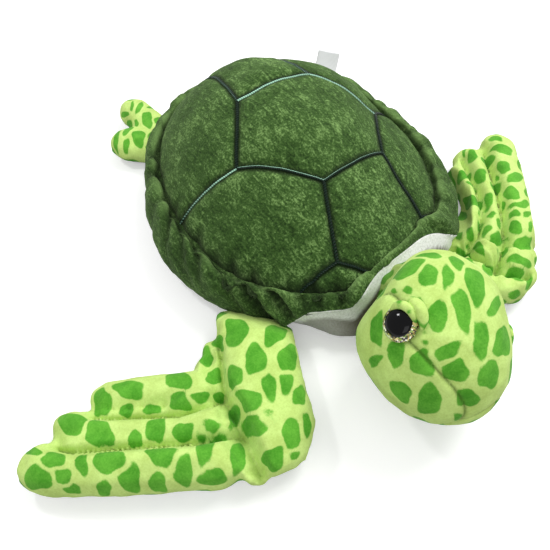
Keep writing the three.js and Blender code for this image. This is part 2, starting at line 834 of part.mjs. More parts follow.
function threadCord(from, to) {
  const start = new THREE.Vector2(...from);
  const end = new THREE.Vector2(...to);
  const steps = Math.max(2, Math.round((start.distanceTo(end) * halfLength) / threadStep));
  const points = Array.from({ length: steps + 1 }, (_, step) => (
    threadPoint(start.clone().lerp(end, step / steps).toArray())
  ));
  const rings = points.map(({ place, normal }, index) => {
    const before = points[Math.max(index - 1, 0)].place;
    const after = points[Math.min(index + 1, steps)].place;
    const side = after.clone().sub(before).normalize().cross(normal).normalize();
    return Array.from({ length: threadSides }, (_, corner) => {
      const angle = (2 * Math.PI * corner) / threadSides;
      return place.clone()
        .addScaledVector(side, threadRadius * Math.cos(angle))
        .addScaledVector(normal, threadRadius * Math.sin(angle)).toArray();
    });
  });
  return toSolid(surfaceFromRings([[points[0].place.toArray()], ...rings, [points[steps].place.toArray()]]));
}

function threadNet() {
  const edges = scuteEdges.map(([from, to]) => [scuteCornerShares[from], scuteCornerShares[to]]);
  const spokes = scuteSpokes.map(([from, degrees]) => {
    const angle = degToRad(degrees);
    return [scuteCornerShares[from], [spokeEndShare * Math.sin(angle), -spokeEndShare * Math.cos(angle)]];
  });
  return union([...edges, ...spokes].map(([from, to]) => threadCord(from, to)));
}

// The sewn label leans out of the seam between the dome and the rim
function addLabel() {
  const seam = stationPoint(domeEnd, labelAngle, false);
  const group = groupAt(turtle, seam.x, seam.y, seam.z);
  group.rotation.set(0, -labelLean, limbRoot(labelAngle, 0).turn, 'ZYX');
  const start = labelThickness + 2 * pieceGap;
  addMesh(group, 'sewn_label', box(
    [start, -labelWidth / 2, -labelThickness / 2],
    [start + labelLength, labelWidth / 2, labelThickness / 2],
  ), ribbon);
}

// Everything on the belly's side of its seam, which climbs round the neck at the front
function bellySide(extra) {
  const span = shellLength;
  const level = box([-span, -span, -span], [span, span, bellySeamHeight + extra]);
  const slope = new THREE.Matrix4().makeRotationZ(liningTurn);
  slope.multiply(new THREE.Matrix4().makeTranslation(0, -liningStart, bellySeamHeight));
  slope.multiply(new THREE.Matrix4().makeRotationX(-liningSlope));
  return level.add(placed(box([-span, -span, -span], [span, span, extra]), slope));
}

function addShell() {
  const add = (name, solid, look) => addMesh(turtle, name, less(solid, shellCutters), look);
  const lower = shellPanel(domeEnd, stations.length - 1);
  add('carapace_cover', shellPanel(0, domeEnd), darkPlush);
  add('rim_band', lower.subtract(bellySide(seamGap / 2)), darkPlush);
  add('belly_cover', lower.intersect(bellySide(-seamGap / 2)), whitePlush);
  add('body_stuffing', shellBody(lining, true), filling);
  addMesh(turtle, 'scute_embroidery', threadNet(), thread);
}

addShell();
addLabel();

export default turtle;
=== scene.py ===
"""Stuffed sea turtle lying on its belly: the fabric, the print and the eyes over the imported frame.

Metres, +Z up, head toward -Y, the turtle's left side toward +X.
"""

import logging
import math
from contextlib import contextmanager
from dataclasses import dataclass
from enum import Enum
from typing import Iterable, Iterator, Sequence

import bpy
import numpy as np
from mathutils import Matrix, Vector, kdtree, noise
from mathutils.bvhtree import BVHTree


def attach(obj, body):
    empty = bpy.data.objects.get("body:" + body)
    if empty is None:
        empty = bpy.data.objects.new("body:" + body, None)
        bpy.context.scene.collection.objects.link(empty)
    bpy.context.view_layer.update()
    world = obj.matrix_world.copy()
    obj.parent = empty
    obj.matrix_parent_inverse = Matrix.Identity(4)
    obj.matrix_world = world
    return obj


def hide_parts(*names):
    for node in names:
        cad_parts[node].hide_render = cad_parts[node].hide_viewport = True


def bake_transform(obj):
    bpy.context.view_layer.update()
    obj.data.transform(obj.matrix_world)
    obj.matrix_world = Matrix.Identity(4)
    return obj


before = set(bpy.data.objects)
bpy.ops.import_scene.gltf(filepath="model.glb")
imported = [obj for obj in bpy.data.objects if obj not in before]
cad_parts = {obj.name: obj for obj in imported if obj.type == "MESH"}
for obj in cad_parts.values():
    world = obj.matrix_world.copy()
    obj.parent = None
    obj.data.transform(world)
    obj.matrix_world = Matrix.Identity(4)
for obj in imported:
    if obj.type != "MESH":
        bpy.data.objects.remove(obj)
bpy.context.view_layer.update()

MM = 0.001
SAME_PLACE = 1e-6
CLOTH_STEPS = 20
LOG = logging.getLogger("turtle")


# ---------------------------------------------------------------- small tools


def linear(code: str) -> tuple[float, float, float, float]:
    """Turns an sRGB hex value into a linear colour.

    Args:
        code: the colour as "#rrggbb".

    Returns:
        Red, green, blue and alpha for a shader socket.
    """
    parts = [int(code[i : i + 2], 16) / 255 for i in (1, 3, 5)]
    bent = [c / 12.92 if c <= 0.04045 else ((c + 0.055) / 1.055) ** 2.4 for c in parts]
    return (bent[0], bent[1], bent[2], 1.0)


def feed(tree: bpy.types.NodeTree, node: bpy.types.Node, inputs: dict) -> None:
    """Links outputs to the node's sockets, and sets constants on the sockets themselves."""
    for key, value in inputs.items():
        if isinstance(value, bpy.types.NodeSocket):
            tree.links.new(value, node.inputs[key])
        else:
            node.inputs[key].default_value = value


def add_node(tree: bpy.types.NodeTree, kind: str, inputs: dict | None = None, **settings) -> bpy.types.Node:
    """Adds a shader node with its settings, its values and its links.

    Args:
        tree: the material's node tree.
        kind: the node's Blender type.
        inputs: socket name or number to a value, or to the output that feeds it.
        settings: properties of the node; stops holds a ramp's (place, colour) pairs.

    Returns:
        The node.
    """
    made = tree.nodes.new(kind)
    stops = settings.pop("stops", None)
    for key, value in settings.items():
        setattr(made, key, value)
    feed(tree, made, inputs or {})
    if stops:
        elements = made.color_ramp.elements
        while len(elements) < len(stops):
            elements.new(0.5)
        for element, (place, colour) in zip(elements, stops):
            element.position = place
            element.color = colour
    return made


def deselect_all() -> None:
    """Leaves nothing selected."""
    bpy.ops.object.select_all(action="DESELECT")


def activate(piece: bpy.types.Object) -> None:
    """Makes one piece the only selected and the active one."""
    deselect_all()
    piece.select_set(True)
    bpy.context.view_layer.objects.active = piece


def new_primitive(name: str) -> bpy.types.Object:
    """Names the primitive that an operator has just added."""
    piece = bpy.context.active_object
    piece.name = name
    piece.data.name = name
    return piece


@contextmanager
def editing(piece: bpy.types.Object, select: str = "SELECT") -> Iterator[None]:
    """Opens the piece's mesh for editing with all or nothing of it selected, and closes it again."""
    activate(piece)
    bpy.ops.object.mode_set(mode="EDIT")
    bpy.ops.mesh.select_all(action=select)
    yield
    bpy.ops.object.mode_set(mode="OBJECT")


def face_outward(piece: bpy.types.Object) -> None:
    """Turns the closed mesh's faces outward."""
    with editing(piece):
        bpy.ops.mesh.normals_make_consistent(inside=False)


def add_ball(name: str, segments: int, rings: int, radius: float = 1, **settings) -> bpy.types.Object:
    """Adds a ball, or with scale and rotation an egg, whose shape is held in its own points."""
    deselect_all()
    bpy.ops.mesh.primitive_uv_sphere_add(segments=segments, ring_count=rings, radius=radius, **settings)
    ball = new_primitive(name)
    bpy.ops.object.transform_apply(location=True, rotation=True, scale=True)
    return ball


def new_mesh(
    name: str, points: Sequence[Sequence[float]], faces: Sequence[Sequence[int]],
) -> bpy.types.Object:
    """A new piece from its points and faces."""
    mesh = bpy.data.meshes.new(name)
    mesh.from_pydata(points, [], faces)
    piece = bpy.data.objects.new(name, mesh)
    bpy.context.scene.collection.objects.link(piece)
    return piece


def join_into(whole: bpy.types.Object, parts: Sequence[bpy.types.Object]) -> None:
    """Joins the parts' meshes into the whole."""
    deselect_all()
    for part in parts:
        part.select_set(True)
    whole.select_set(True)
    bpy.context.view_layer.objects.active = whole
    bpy.ops.object.join()


def places(piece: bpy.types.Object) -> np.ndarray:
    """The piece's points, one row each."""
    flat = np.empty(len(piece.data.vertices) * 3)
    piece.data.vertices.foreach_get("co", flat)
    return flat.reshape(-1, 3)


def move_to(piece: bpy.types.Object, points: np.ndarray) -> None:
    """Puts the piece's points at new places."""
    piece.data.vertices.foreach_set("co", np.ascontiguousarray(points, dtype=np.float64).ravel())
    piece.data.update()


def normals(piece: bpy.types.Object) -> np.ndarray:
    """The outward direction at each of the piece's points."""
    flat = np.empty(len(piece.data.vertices) * 3)
    piece.data.vertex_normals.foreach_get("vector", flat)
    return flat.reshape(-1, 3)


def apply_modifier(piece: bpy.types.Object, kind: str, **settings) -> None:
    """Adds a modifier with its settings and applies it."""
    activate(piece)
    modifier = piece.modifiers.new(kind.lower(), kind)
    for key, value in settings.items():
        setattr(modifier, key, value)
    bpy.ops.object.modifier_apply(modifier=modifier.name)


def smooth_shaded(piece: bpy.types.Object) -> None:
    """Shades the piece smooth."""
    activate(piece)
    bpy.ops.object.shade_smooth()


def set_values(piece: bpy.types.Object, name: str, values: np.ndarray) -> None:
    """Stores one number per point for the piece's material."""
    held = piece.data.attributes.get(name) or piece.data.attributes.new(name, "FLOAT", "POINT")
    held.data.foreach_set("value", np.asarray(values, dtype=np.float32))


def waves(points: np.ndarray, size: float, seed: float, octaves: int = 2) -> np.ndarray:
    """Smooth random swells over a set of points.

    Args:
        points: places in metres.
        size: the swells' width in metres.
        seed: shifts the pattern.
        octaves: how many finer layers are added.

    Returns:
        One value from about -1 to 1 for each point.
    """
    shift = Vector((seed, 2.3 * seed, -1.7 * seed))
    return np.array([noise.fractal(Vector(p) / size + shift, 1.0, 2.0, octaves) for p in points])


def bell(away: np.ndarray, width: float, power: int = 2) -> np.ndarray:
    """1 where away is 0, falling toward 0 beyond the width; a higher power makes the top flatter."""
    return np.exp(-((away / width) ** power))


def segment_distance(points: np.ndarray, start: Sequence[float], end: Sequence[float]) -> np.ndarray:
    """Distance in the plane from each point to a straight line between two places."""
    a, b = np.asarray(start, float), np.asarray(end, float)
    along = b - a
    share = np.clip(((points - a) @ along) / (along @ along), 0, 1)
    return np.linalg.norm(points - (a + share[:, None] * along), axis=1)


def line_distance(points: np.ndarray, line: np.ndarray) -> np.ndarray:
    """Distance from each point to the nearest of a line's closely set places."""
    tree = kdtree.KDTree(len(line))
    for index, place in enumerate(line):
        tree.insert(Vector(place), index)
    tree.balance()
    return np.array([tree.find(Vector(p))[2] for p in points])


def joined_copy(name: str, nodes: Iterable[str]) -> bpy.types.Object:
    """One new piece that holds a copy of each of these frame nodes, with its points merged."""
    copies = []
    for node in nodes:
        copy = bpy.data.objects.new(name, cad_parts[node].data.copy())
        bpy.context.scene.collection.objects.link(copy)
        copies.append(copy)
    join_into(copies[0], copies[1:])
    piece = new_primitive(name)
    with editing(piece):
        bpy.ops.mesh.remove_doubles(threshold=SAME_PLACE)
    return piece


def plain_copy(piece: bpy.types.Object, name: str) -> bpy.types.Object:
    """A second piece with its own copy of the mesh."""
    copy = bpy.data.objects.new(name, piece.data.copy())
    copy.data.name = name
    bpy.context.scene.collection.objects.link(copy)
    return copy


def cut(piece: bpy.types.Object, place: Sequence[float], normal: Sequence[float]) -> None:
    """Cuts away what lies behind a plane and closes the cut."""
    with editing(piece):
        bpy.ops.mesh.bisect(plane_co=place, plane_no=normal, use_fill=True, clear_inner=True)


def keep_largest(piece: bpy.types.Object) -> None:
    """Deletes every loose part of the mesh but the one with the most points."""
    activate(piece)
    bpy.ops.mesh.separate(type="LOOSE")
    parts = sorted(bpy.context.selected_objects, key=lambda part: len(part.data.vertices))
    name = piece.name
    for part in parts[:-1]:
        bpy.data.objects.remove(part)
    parts[-1].name = name
    activate(parts[-1])


def voxel_remesh(piece: bpy.types.Object, size: float) -> bpy.types.Object:
    """Turns the piece into one closed skin of even squares.

    Args:
        piece: what is wrapped.
        size: the squares' size in metres.

    Returns:
        The skin, without the hollows inside it.
    """
    activate(piece)
    piece.data.remesh_voxel_size = size
    piece.data.use_remesh_fix_poles = False
    bpy.ops.object.voxel_remesh()
    keep_largest(piece)
    return bpy.context.active_object


def inflate(piece: bpy.types.Object, cap: float, pressure: float = 4.0) -> None:
    """Swells the skin as stuffed cloth, and caps how far a point may move.

    Args:
        piece: a closed skin of even squares.
        cap: the most that a point moves, in metres.
        pressure: the filling's push.
    """
    before = places(piece)
    activate(piece)
    cloth = piece.modifiers.new("cloth", "CLOTH")
    cloth.settings.quality = 5
    cloth.settings.mass = 0.25
    cloth.settings.use_pressure = True
    cloth.settings.uniform_pressure_force = pressure
    cloth.settings.effector_weights.gravity = 0
    cloth.collision_settings.use_collision = False
    cloth.point_cache.frame_start = 1
    cloth.point_cache.frame_end = CLOTH_STEPS
    for step in range(1, CLOTH_STEPS + 1):
        bpy.context.scene.frame_set(step)
    bpy.ops.object.modifier_apply(modifier=cloth.name)
    bpy.context.scene.frame_set(1)
    move = places(piece) - before
    length = np.linalg.norm(move, axis=1, keepdims=True)
    move_to(piece, before + move * np.minimum(1, cap / np.maximum(length, 1e-9)))


def sight_tree(piece: bpy.types.Object) -> BVHTree:
    """The piece's faces, laid out for finding what a line of sight meets."""
    faces = [tuple(face.vertices) for face in piece.data.polygons]
    return BVHTree.FromPolygons([vertex.co for vertex in piece.data.vertices], faces)


# ---------------------------------------------------------------- viewpoint


HALF_PICTURE = 275


@dataclass(frozen=True)
class View:
    """The photograph's viewpoint, fitted to the toy; its pixels count from the top left of a 550 square.

    A pull fades over pull_spread pixels, and pull_hold is how firmly places far from every pull stay.
    """

    place: tuple[float, float, float] = (-0.19531, -0.29953, 0.36200)
    right: tuple[float, float, float] = (0.80536, -0.58480, -0.09694)
    up: tuple[float, float, float] = (0.51226, 0.60432, 0.61024)
    back: tuple[float, float, float] = (-0.29828, -0.54112, 0.78627)
    angle: float = math.radians(51.94)
    pull_spread: float = 26.0
    pull_hold: float = 0.25

    @property
    def depth(self) -> float:
        """How many pixels away the picture lies from the viewpoint."""
        return HALF_PICTURE / math.tan(self.angle / 2)

    def sight(self, across: float, down: float) -> Vector:
        """The direction in which one pixel looks."""
        level = Vector(self.right) * (across - HALF_PICTURE) + Vector(self.up) * (HALF_PICTURE - down)
        return (level - Vector(self.back) * self.depth).normalized()

    def seen_at(self, points: np.ndarray) -> tuple[np.ndarray, np.ndarray]:
        """The pixels, across and down, at which points are seen."""
        away = points - np.array(self.place)
        scale = -(away @ np.array(self.back)) / self.depth
        across, up = away @ np.array(self.right) / scale, away @ np.array(self.up) / scale
        return HALF_PICTURE + across, HALF_PICTURE - up

    def at_height(self, across: float, down: float, height: float) -> Vector:
        """The place at a height that one pixel looks at."""
        aim = self.sight(across, down)
        return Vector(self.place) + aim * ((height - self.place[2]) / aim.z)

    def drawn(self, points: np.ndarray, pulls: Sequence[tuple[float, float, float, float]]) -> np.ndarray:
        """Draws points to the photograph's outline, level with the floor.

        Args:
            points: the places to move.
            pulls: where in the picture to pull, across and down, and by how many pixels each way.

        Returns:
            The places, each moved by the pulls seen near it.
        """
        across, down = self.seen_at(points)
        total = np.full(len(points), self.pull_hold)
        moved = np.zeros((len(points), 2))
        for u, v, right, lower in pulls:
            near = np.exp(-((across - u) ** 2 + (down - v) ** 2) / self.pull_spread**2)
            total += near
            moved += np.outer(near, (right, lower))
        moved /= total[:, None]
        aim = np.outer(across + moved[:, 0] - HALF_PICTURE, self.right)
        aim += np.outer(HALF_PICTURE - down - moved[:, 1], self.up)
        aim -= np.array(self.back) * self.depth
        share = (points[:, 2] - self.place[2]) / aim[:, 2]
        return np.array(self.place) + aim * share[:, None]

    def met(self, skin: BVHTree, line: Sequence[tuple[float, float]]) -> np.ndarray:
        """Closely set places where a drawn line's sights meet the skin."""
        found = []
        for start, end in zip(line, line[1:]):
            for share in np.linspace(0, 1, 25):
                pixel = (np.array(start) * (1 - share) + np.array(end) * share).tolist()
                place = skin.ray_cast(Vector(self.place), self.sight(*pixel))[0]
                if place:
                    found.append(place)
        return np.array(found)


VIEW = View()


# ---------------------------------------------------------------- finishes


class Slot(Enum):
    """The record's material slots."""

    DARK_PLUSH = "dark_green_plush"
    SPOTTED_PLUSH = "spotted_plush"
    WHITE_PLUSH = "white_plush"
    FILLING = "polyester_filling"
    THREAD = "embroidery_thread"
    RIBBON = "label_ribbon"
    BLACK = "black_plastic"
    GLITTER = "gold_glitter"
    NYLON = "washer_plastic"


class Nodes:
    """A material's nodes while a finish is made; each method adds one node and hands on its output."""

    def __init__(self, name: str) -> None:
        """Starts a material with a surface shader and the piece's own coordinates."""
        self.material = bpy.data.materials.new(name)
        self.material.use_nodes = True
        self.tree = self.material.node_tree
        self.tree.nodes.clear()
        self.shader = add_node(self.tree, "ShaderNodeBsdfPrincipled")
        add_node(self.tree, "ShaderNodeOutputMaterial", {"Surface": self.shader.outputs["BSDF"]})
        self.place = add_node(self.tree, "ShaderNodeTexCoord").outputs["Object"]

    def noise(self, scale: float, detail: float, roughness: float = 0.5, **inputs) -> bpy.types.NodeSocket:
        """Cloudy noise, on the piece's own coordinates if no others are given."""
        values = {"Vector": self.place, "Scale": scale, "Detail": detail, "Roughness": roughness, **inputs}
        return add_node(self.tree, "ShaderNodeTexNoise", values).outputs[0]

    def maths(self, operation: str, *values) -> bpy.types.NodeSocket:
        """One sum over numbers and outputs."""
        return add_node(self.tree, "ShaderNodeMath", dict(enumerate(values)), operation=operation).outputs[0]

    def stored(self, name: str) -> bpy.types.NodeSocket:
        """The number that the piece's points hold under a name."""
        return add_node(self.tree, "ShaderNodeAttribute", attribute_name=name).outputs["Fac"]

    def spread(self, value: bpy.types.NodeSocket, low: float, high: float,
               to: tuple[float, float] = (0.0, 1.0), kind: str = "LINEAR") -> bpy.types.NodeSocket:
        """Spreads what lies between two values over another range."""
        values = {"Value": value, "From Min": low, "From Max": high, "To Min": to[0], "To Max": to[1]}
        return add_node(self.tree, "ShaderNodeMapRange", values, interpolation_type=kind).outputs[0]

    def ramp(self, share: bpy.types.NodeSocket, *stops: tuple[float, str],
             kind: str = "LINEAR") -> bpy.types.NodeSocket:
        """A colour for each share, between stops of a place and a hex value."""
        colours = [(place, linear(code)) for place, code in stops]
        made = add_node(self.tree, "ShaderNodeValToRGB", {"Fac": share}, stops=colours)
        made.color_ramp.interpolation = kind
        return made.outputs[0]

    def mixed(
        self, share: bpy.types.NodeSocket, under: bpy.types.NodeSocket, over: str | bpy.types.NodeSocket,
    ) -> bpy.types.NodeSocket:
        """Lays a hex colour, or another output's colour, over a colour."""
        values = {0: share, 6: under, 7: linear(over) if isinstance(over, str) else over}
        return add_node(self.tree, "ShaderNodeMix", values, data_type="RGBA").outputs[2]

    def bumped(self, height: bpy.types.NodeSocket, strength: float, distance: float) -> bpy.types.NodeSocket:
        """Fine relief from a height."""
        values = {"Height": height, "Strength": strength, "Distance": distance}
        return add_node(self.tree, "ShaderNodeBump", values).outputs[0]

    def finished(self, **inputs) -> bpy.types.Material:
        """The material, once its shader has these values; a name's underscores stand for spaces."""
        feed(self.tree, self.shader, {key.replace("_", " "): value for key, value in inputs.items()})
        return self.material


@dataclass(frozen=True)
class Finish:
    """A finish: what a surface is made of, and how its material is built."""

    name: str = "finish"

    def build(self) -> bpy.types.Material:
        """Makes the finished material."""
        return Nodes(self.name).material


@dataclass(frozen=True)
class ShellPlush(Finish):
    """Short polyester pile, dyed dark green; brushing lays it both ways and leaves light and dark streaks."""

    name: str = "dark_green_polyester_plush"
    deep: str = "#1b330c"
    middle: str = "#3d5c27"
    pale: str = "#83a660"
    # Dark root colour for the seams, and for the painted shade in folds and quilting grooves
    root_and_shade: str = "#0c1a06"
    sheen: str = "#a9c58a"
    tuft: float = 1.5 * MM
    brush: float = 9 * MM

    def build(self) -> bpy.types.Material:
        """Makes the pile: fine tufts, brushed streaks and broad patches."""
        nodes = Nodes(self.name)
        turned = add_node(nodes.tree, "ShaderNodeMapping", {
            "Vector": nodes.place, "Rotation": (0.3, 0.2, 0.9), "Scale": (1.0, 0.32, 0.7)}).outputs[0]
        tufts = nodes.noise(1 / self.tuft, 3.0, 0.7)
        streaks = nodes.noise(2.4 / self.brush, 4.0, 0.62, Vector=turned, Distortion=1.2)
        patches = nodes.noise(0.3 / self.brush, 2.0)
        tone = nodes.maths("MULTIPLY_ADD", patches, 0.5, nodes.maths("ADD", tufts, streaks))
        colour = nodes.ramp(
            nodes.spread(tone, 0.95, 1.6), (0.0, self.deep), (0.5, self.middle), (1.0, self.pale))
        # Painted highlight colours the pile pale on the rim's crests; the seam values darken it to its root
        # colour at seams, and as painted shade in folds and quilting grooves
        wear_and_highlight = nodes.mixed(nodes.stored("lit_crest"), colour, self.pale)
        return nodes.finished(
            Base_Color=nodes.mixed(nodes.stored("seam"), wear_and_highlight, self.root_and_shade),
            Normal=nodes.bumped(tone, 0.9, 1.3 * MM),
            Roughness=0.95, Specular_IOR_Level=0.2,
            Sheen_Weight=0.25, Sheen_Roughness=0.45, Sheen_Tint=linear(self.sheen))


@dataclass(frozen=True)
class PrintedPlush(Finish):
    """Very short yellow-green pile with printed leaf-green spots, whose edges are a little soft."""

    name: str = "spot_printed_polyester_plush"
    ground: str = "#cbe986"
    ground_worn: str = "#b3cf6c"
    spot: str = "#66b236"
    spot_worn: str = "#45921f"
    # Darker root colour for the seams, and for the neck's painted shade
    root_and_shade: str = "#3d5a16"
    sheen: str = "#e9f6c4"
    tuft: float = 1.3 * MM
    bleed: float = 0.5

    def build(self) -> bpy.types.Material:
        """Makes the pile with its print, which follows the piece's print_mm values."""
        nodes = Nodes(self.name)
        tufts = nodes.noise(1 / self.tuft, 3.0, 0.65)
        patches = nodes.noise(0.09 / self.tuft, 4.0, 0.6)
        edge = nodes.maths("MULTIPLY_ADD", tufts, 1.4, nodes.stored("print_mm"))
        inked = nodes.spread(edge, 0.7 - self.bleed, 0.7 + self.bleed, kind="SMOOTHSTEP")
        both = nodes.maths("MULTIPLY_ADD", tufts, 0.6, patches)
        wear = nodes.spread(both, 0.62, 1.0)
        ground = nodes.ramp(wear, (0.0, self.ground_worn), (1.0, self.ground))
        spot = nodes.ramp(wear, (0.0, self.spot_worn), (1.0, self.spot))
        # The seam values darken the pile to its root colour along the head's seams, and over the whole neck
        # as painted shade
        return nodes.finished(
            Base_Color=nodes.mixed(nodes.stored("seam"), nodes.mixed(inked, ground, spot), self.root_and_shade),
            Normal=nodes.bumped(both, 0.5, 0.7 * MM),
            Roughness=0.9, Specular_IOR_Level=0.25,
            Sheen_Weight=0.15, Sheen_Roughness=0.4, Sheen_Tint=linear(self.sheen))


@dataclass(frozen=True)
class WhitePlush(Finish):
    """Plain white short pile, a little grey where it lies flat."""

    name: str = "white_polyester_plush"
    pale: str = "#f2f3ef"
    wear_and_highlight: str = "#cfd2c9"
    # The brown of the painted shade in the hollows
    root_and_shade: str = "#443c20"
    tuft: float = 1.3 * MM

    def build(self) -> bpy.types.Material:
        """Makes the white pile, darkened by painted shade deep in the hollow round the neck and under the
        rim.
        """
        nodes = Nodes(self.name)
        tufts = nodes.noise(1 / self.tuft, 4.0, 0.7)
        colour = nodes.ramp(tufts, (0.3, self.wear_and_highlight), (0.6, self.pale))
        # On the white pile the seam values hold only painted shade
        return nodes.finished(
            Base_Color=nodes.mixed(nodes.stored("seam"), colour, self.root_and_shade),
            Normal=nodes.bumped(tufts, 0.5, 0.8 * MM), Roughness=0.95, Sheen_Weight=0.2)


@dataclass(frozen=True)
class SatinThread(Finish):
    """Viscose embroidery thread: glossy strands laid side by side across the line; a painted highlight
    colours one side of some lines pale mint.
    """

    name: str = "viscose_satin_stitch"
    dark: str = "#03120a"
    middle: str = "#0b2a18"
    # The pale mint of the painted highlight
    light: str = "#b9ecd0"
    pitch: float = 1.6 * MM

    def build(self) -> bpy.types.Material:
        """Makes the stitches, which run across the line by the piece's own UV map in metres.

        Real thread is 0.4 mm; the pitch is drawn four times as coarse so that it shows.
        """
        nodes = Nodes(self.name)
        laid = add_node(nodes.tree, "ShaderNodeUVMap", uv_map="stitch").outputs[0]
        along, across = add_node(nodes.tree, "ShaderNodeSeparateXYZ", {0: laid}).outputs[:2]
        slanted = nodes.maths("MULTIPLY_ADD", across, 0.5, along)
        ridge = nodes.maths("SINE", nodes.maths("MULTIPLY", slanted, 2 * math.pi / self.pitch))
        # Painted highlight: one side of the line is coloured pale mint where the gloss values, set square to
        # the highlight axis, are high
        lit_crest = nodes.maths("GREATER_THAN", across, 0.3 * MM)
        bright = nodes.maths("MULTIPLY", nodes.stored("gloss"), lit_crest)
        most = nodes.maths("MULTIPLY_ADD", nodes.spread(ridge, -0.6, 1.2), 0.35, bright)
        return nodes.finished(
            Base_Color=nodes.ramp(most, (0.0, self.dark), (0.35, self.middle), (1.0, self.light)),
            Normal=nodes.bumped(ridge, 0.7, 0.4 * MM), Roughness=0.45, Specular_IOR_Level=0.2)


@dataclass(frozen=True)
class SatinRibbon(Finish):
    """Woven polyester ribbon: smooth, white and faintly ribbed across."""

    name: str = "woven_satin_ribbon"
    pale: str = "#f7f7f8"
    shaded: str = "#dfe1e4"
    rib: float = 0.8 * MM

    def build(self) -> bpy.types.Material:
        """Makes the ribbon; its ribs are drawn three times as coarse as the weave so that they show."""
        nodes = Nodes(self.name)
        ribs = add_node(nodes.tree, "ShaderNodeTexWave", {
            "Vector": nodes.place, "Scale": 0.314 / self.rib, "Distortion": 0.6, "Detail": 2.0},
            bands_direction="Z").outputs[0]
        return nodes.finished(
            Base_Color=nodes.ramp(ribs, (0.0, self.shaded), (0.7, self.pale)),
            Normal=nodes.bumped(ribs, 0.3, 0.2 * MM), Roughness=0.45)


@dataclass(frozen=True)
class PolishedPupil(Finish):
    """Moulded black acrylic, polished: nearly no colour, with a sharp reflection."""

    name: str = "polished_black_acrylic"
    body: str = "#050506"

    def build(self) -> bpy.types.Material:
        """Makes the black dome, with faint dust that keeps its gloss from being perfect."""
        nodes = Nodes(self.name)
        dust = nodes.spread(nodes.noise(900.0, 3.0), 0.4, 0.8, to=(0.03, 0.12))
        return nodes.finished(Base_Color=linear(self.body), Roughness=dust, Specular_IOR_Level=0.2)


@dataclass(frozen=True)
class GlitterIris(Finish):
    """Gold and green foil flakes set in clear lacquer, each facing its own way; some are coloured near white
    as painted glints.
    """

    name: str = "foil_glitter_in_lacquer"
    flake: float = 0.9 * MM
    # Foil colours; the near-white flakes are painted glints
    foils_and_glints: tuple[tuple[float, str], ...] = (
        (0.0, "#15120a"), (0.25, "#8d7a2c"), (0.45, "#d9c877"), (0.62, "#fdfbe6"), (0.8, "#7c9a35"),
        (1.0, "#fffef4"))

    def build(self) -> bpy.types.Material:
        """Makes the glitter; real flakes are 0.2 mm and are drawn coarser so that they show."""
        nodes = Nodes(self.name)
        flakes = add_node(nodes.tree, "ShaderNodeTexVoronoi", {
            "Vector": nodes.place, "Scale": 1 / self.flake})
        pick = add_node(nodes.tree, "ShaderNodeSeparateXYZ", {0: flakes.outputs["Color"]}).outputs
        return nodes.finished(
            Base_Color=nodes.ramp(pick[0], *self.foils_and_glints, kind="CONSTANT"),
            Normal=nodes.bumped(pick[1], 0.8, 0.3 * MM),
            Metallic=0.45, Roughness=0.3, Coat_Weight=1.0, Coat_Roughness=0.03)


@dataclass(frozen=True)
class MouldedNylon(Finish):
    """Natural nylon, injection moulded: milky, with a faint sink-mark waviness."""

    name: str = "moulded_natural_nylon"
    milky: str = "#e6e5de"
    sunk: str = "#c9c8c0"

    def build(self) -> bpy.types.Material:
        """Makes the washers' nylon."""
        nodes = Nodes(self.name)
        colour = nodes.ramp(nodes.noise(260.0, 2.0), (0.3, self.sunk), (0.7, self.milky))
        return nodes.finished(Base_Color=colour, Roughness=0.5, Subsurface_Weight=0.1)


FINISHES: dict[Slot, Finish] = {
    Slot.DARK_PLUSH: ShellPlush(),
    Slot.SPOTTED_PLUSH: PrintedPlush(),
    Slot.WHITE_PLUSH: WhitePlush(),
    Slot.FILLING: WhitePlush(name="polyester_fibre"),
    Slot.THREAD: SatinThread(),
    Slot.RIBBON: SatinRibbon(),
    Slot.BLACK: PolishedPupil(),
    Slot.GLITTER: GlitterIris(),
    Slot.NYLON: MouldedNylon(),
}


class Wardrobe:
    """Holds each finish's material once it is made, and dresses pieces with them."""

    def __init__(self) -> None:
        """Starts with no material made."""
        self.made: dict[Slot, bpy.types.Material] = {}

    def material(self, slot: Slot) -> bpy.types.Material:
        """The slot's material, made when it is first asked for."""
        if slot not in self.made:
            self.made[slot] = FINISHES[slot].build()
        return self.made[slot]

    def dress(self, piece: bpy.types.Object, slot: Slot) -> bpy.types.Object:
        """Gives a new piece its finish and smooth shading."""
        piece.data.materials.clear()
        piece.data.materials.append(self.material(slot))
        smooth_shaded(piece)
        LOG.info("%s: %d faces, %s", piece.name, len(piece.data.polygons), slot.value)
        return piece

    def redress(self, node: str, slot: Slot) -> None:
        """Gives a frame node whose shape is right a better finish."""
        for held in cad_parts[node].material_slots:
            held.material = self.material(slot)
        LOG.info("%s keeps its shape, %s", node, slot.value)


# ---------------------------------------------------------------- places in the photograph


# Pulls: where in the picture an outline is drawn, across and down, and by how many pixels each way
SHELL_PULLS = (
    (172, 112, -2, -5), (190, 95, -4, -6), (212, 75, -3, -7), (235, 62, -1, -6), (270, 56, 0, -3),
    (300, 62, 0, -4), (325, 70, 1, -6), (345, 81, 1, -4), (372, 272, 2, 6), (385, 259, 1, 4),
    (385, 102, -2, 3), (405, 118, -4, 4), (435, 155, -5, 3), (146, 200, 3, 0), (150, 235, 0, 1),
    (160, 258, -4, 3), (180, 280, -4, 5), (200, 297, -3, 4), (225, 310, -2, 2),
)
BELLY_PULLS = ((351, 330, 0, 22), (336, 328, 0, 12), (318, 326, 0, 3), (298, 324, 0, -9))
HEAD_PULLS = (
    (358, 350, 2, 0), (366, 368, 5, -3), (377, 390, 6, -4), (395, 408, 5, -5), (420, 421, 3, -5),
    (448, 426, 0, -3), (368, 300, 4, 2), (376, 286, 5, 4), (386, 272, 5, 4), (397, 261, 3, 3),
    (517, 330, -7, 0), (514, 355, -3, 0), (500, 398, 2, 1), (480, 416, 1, 1), (398, 322, 0, 0),
    (430, 350, 0, 0),
)
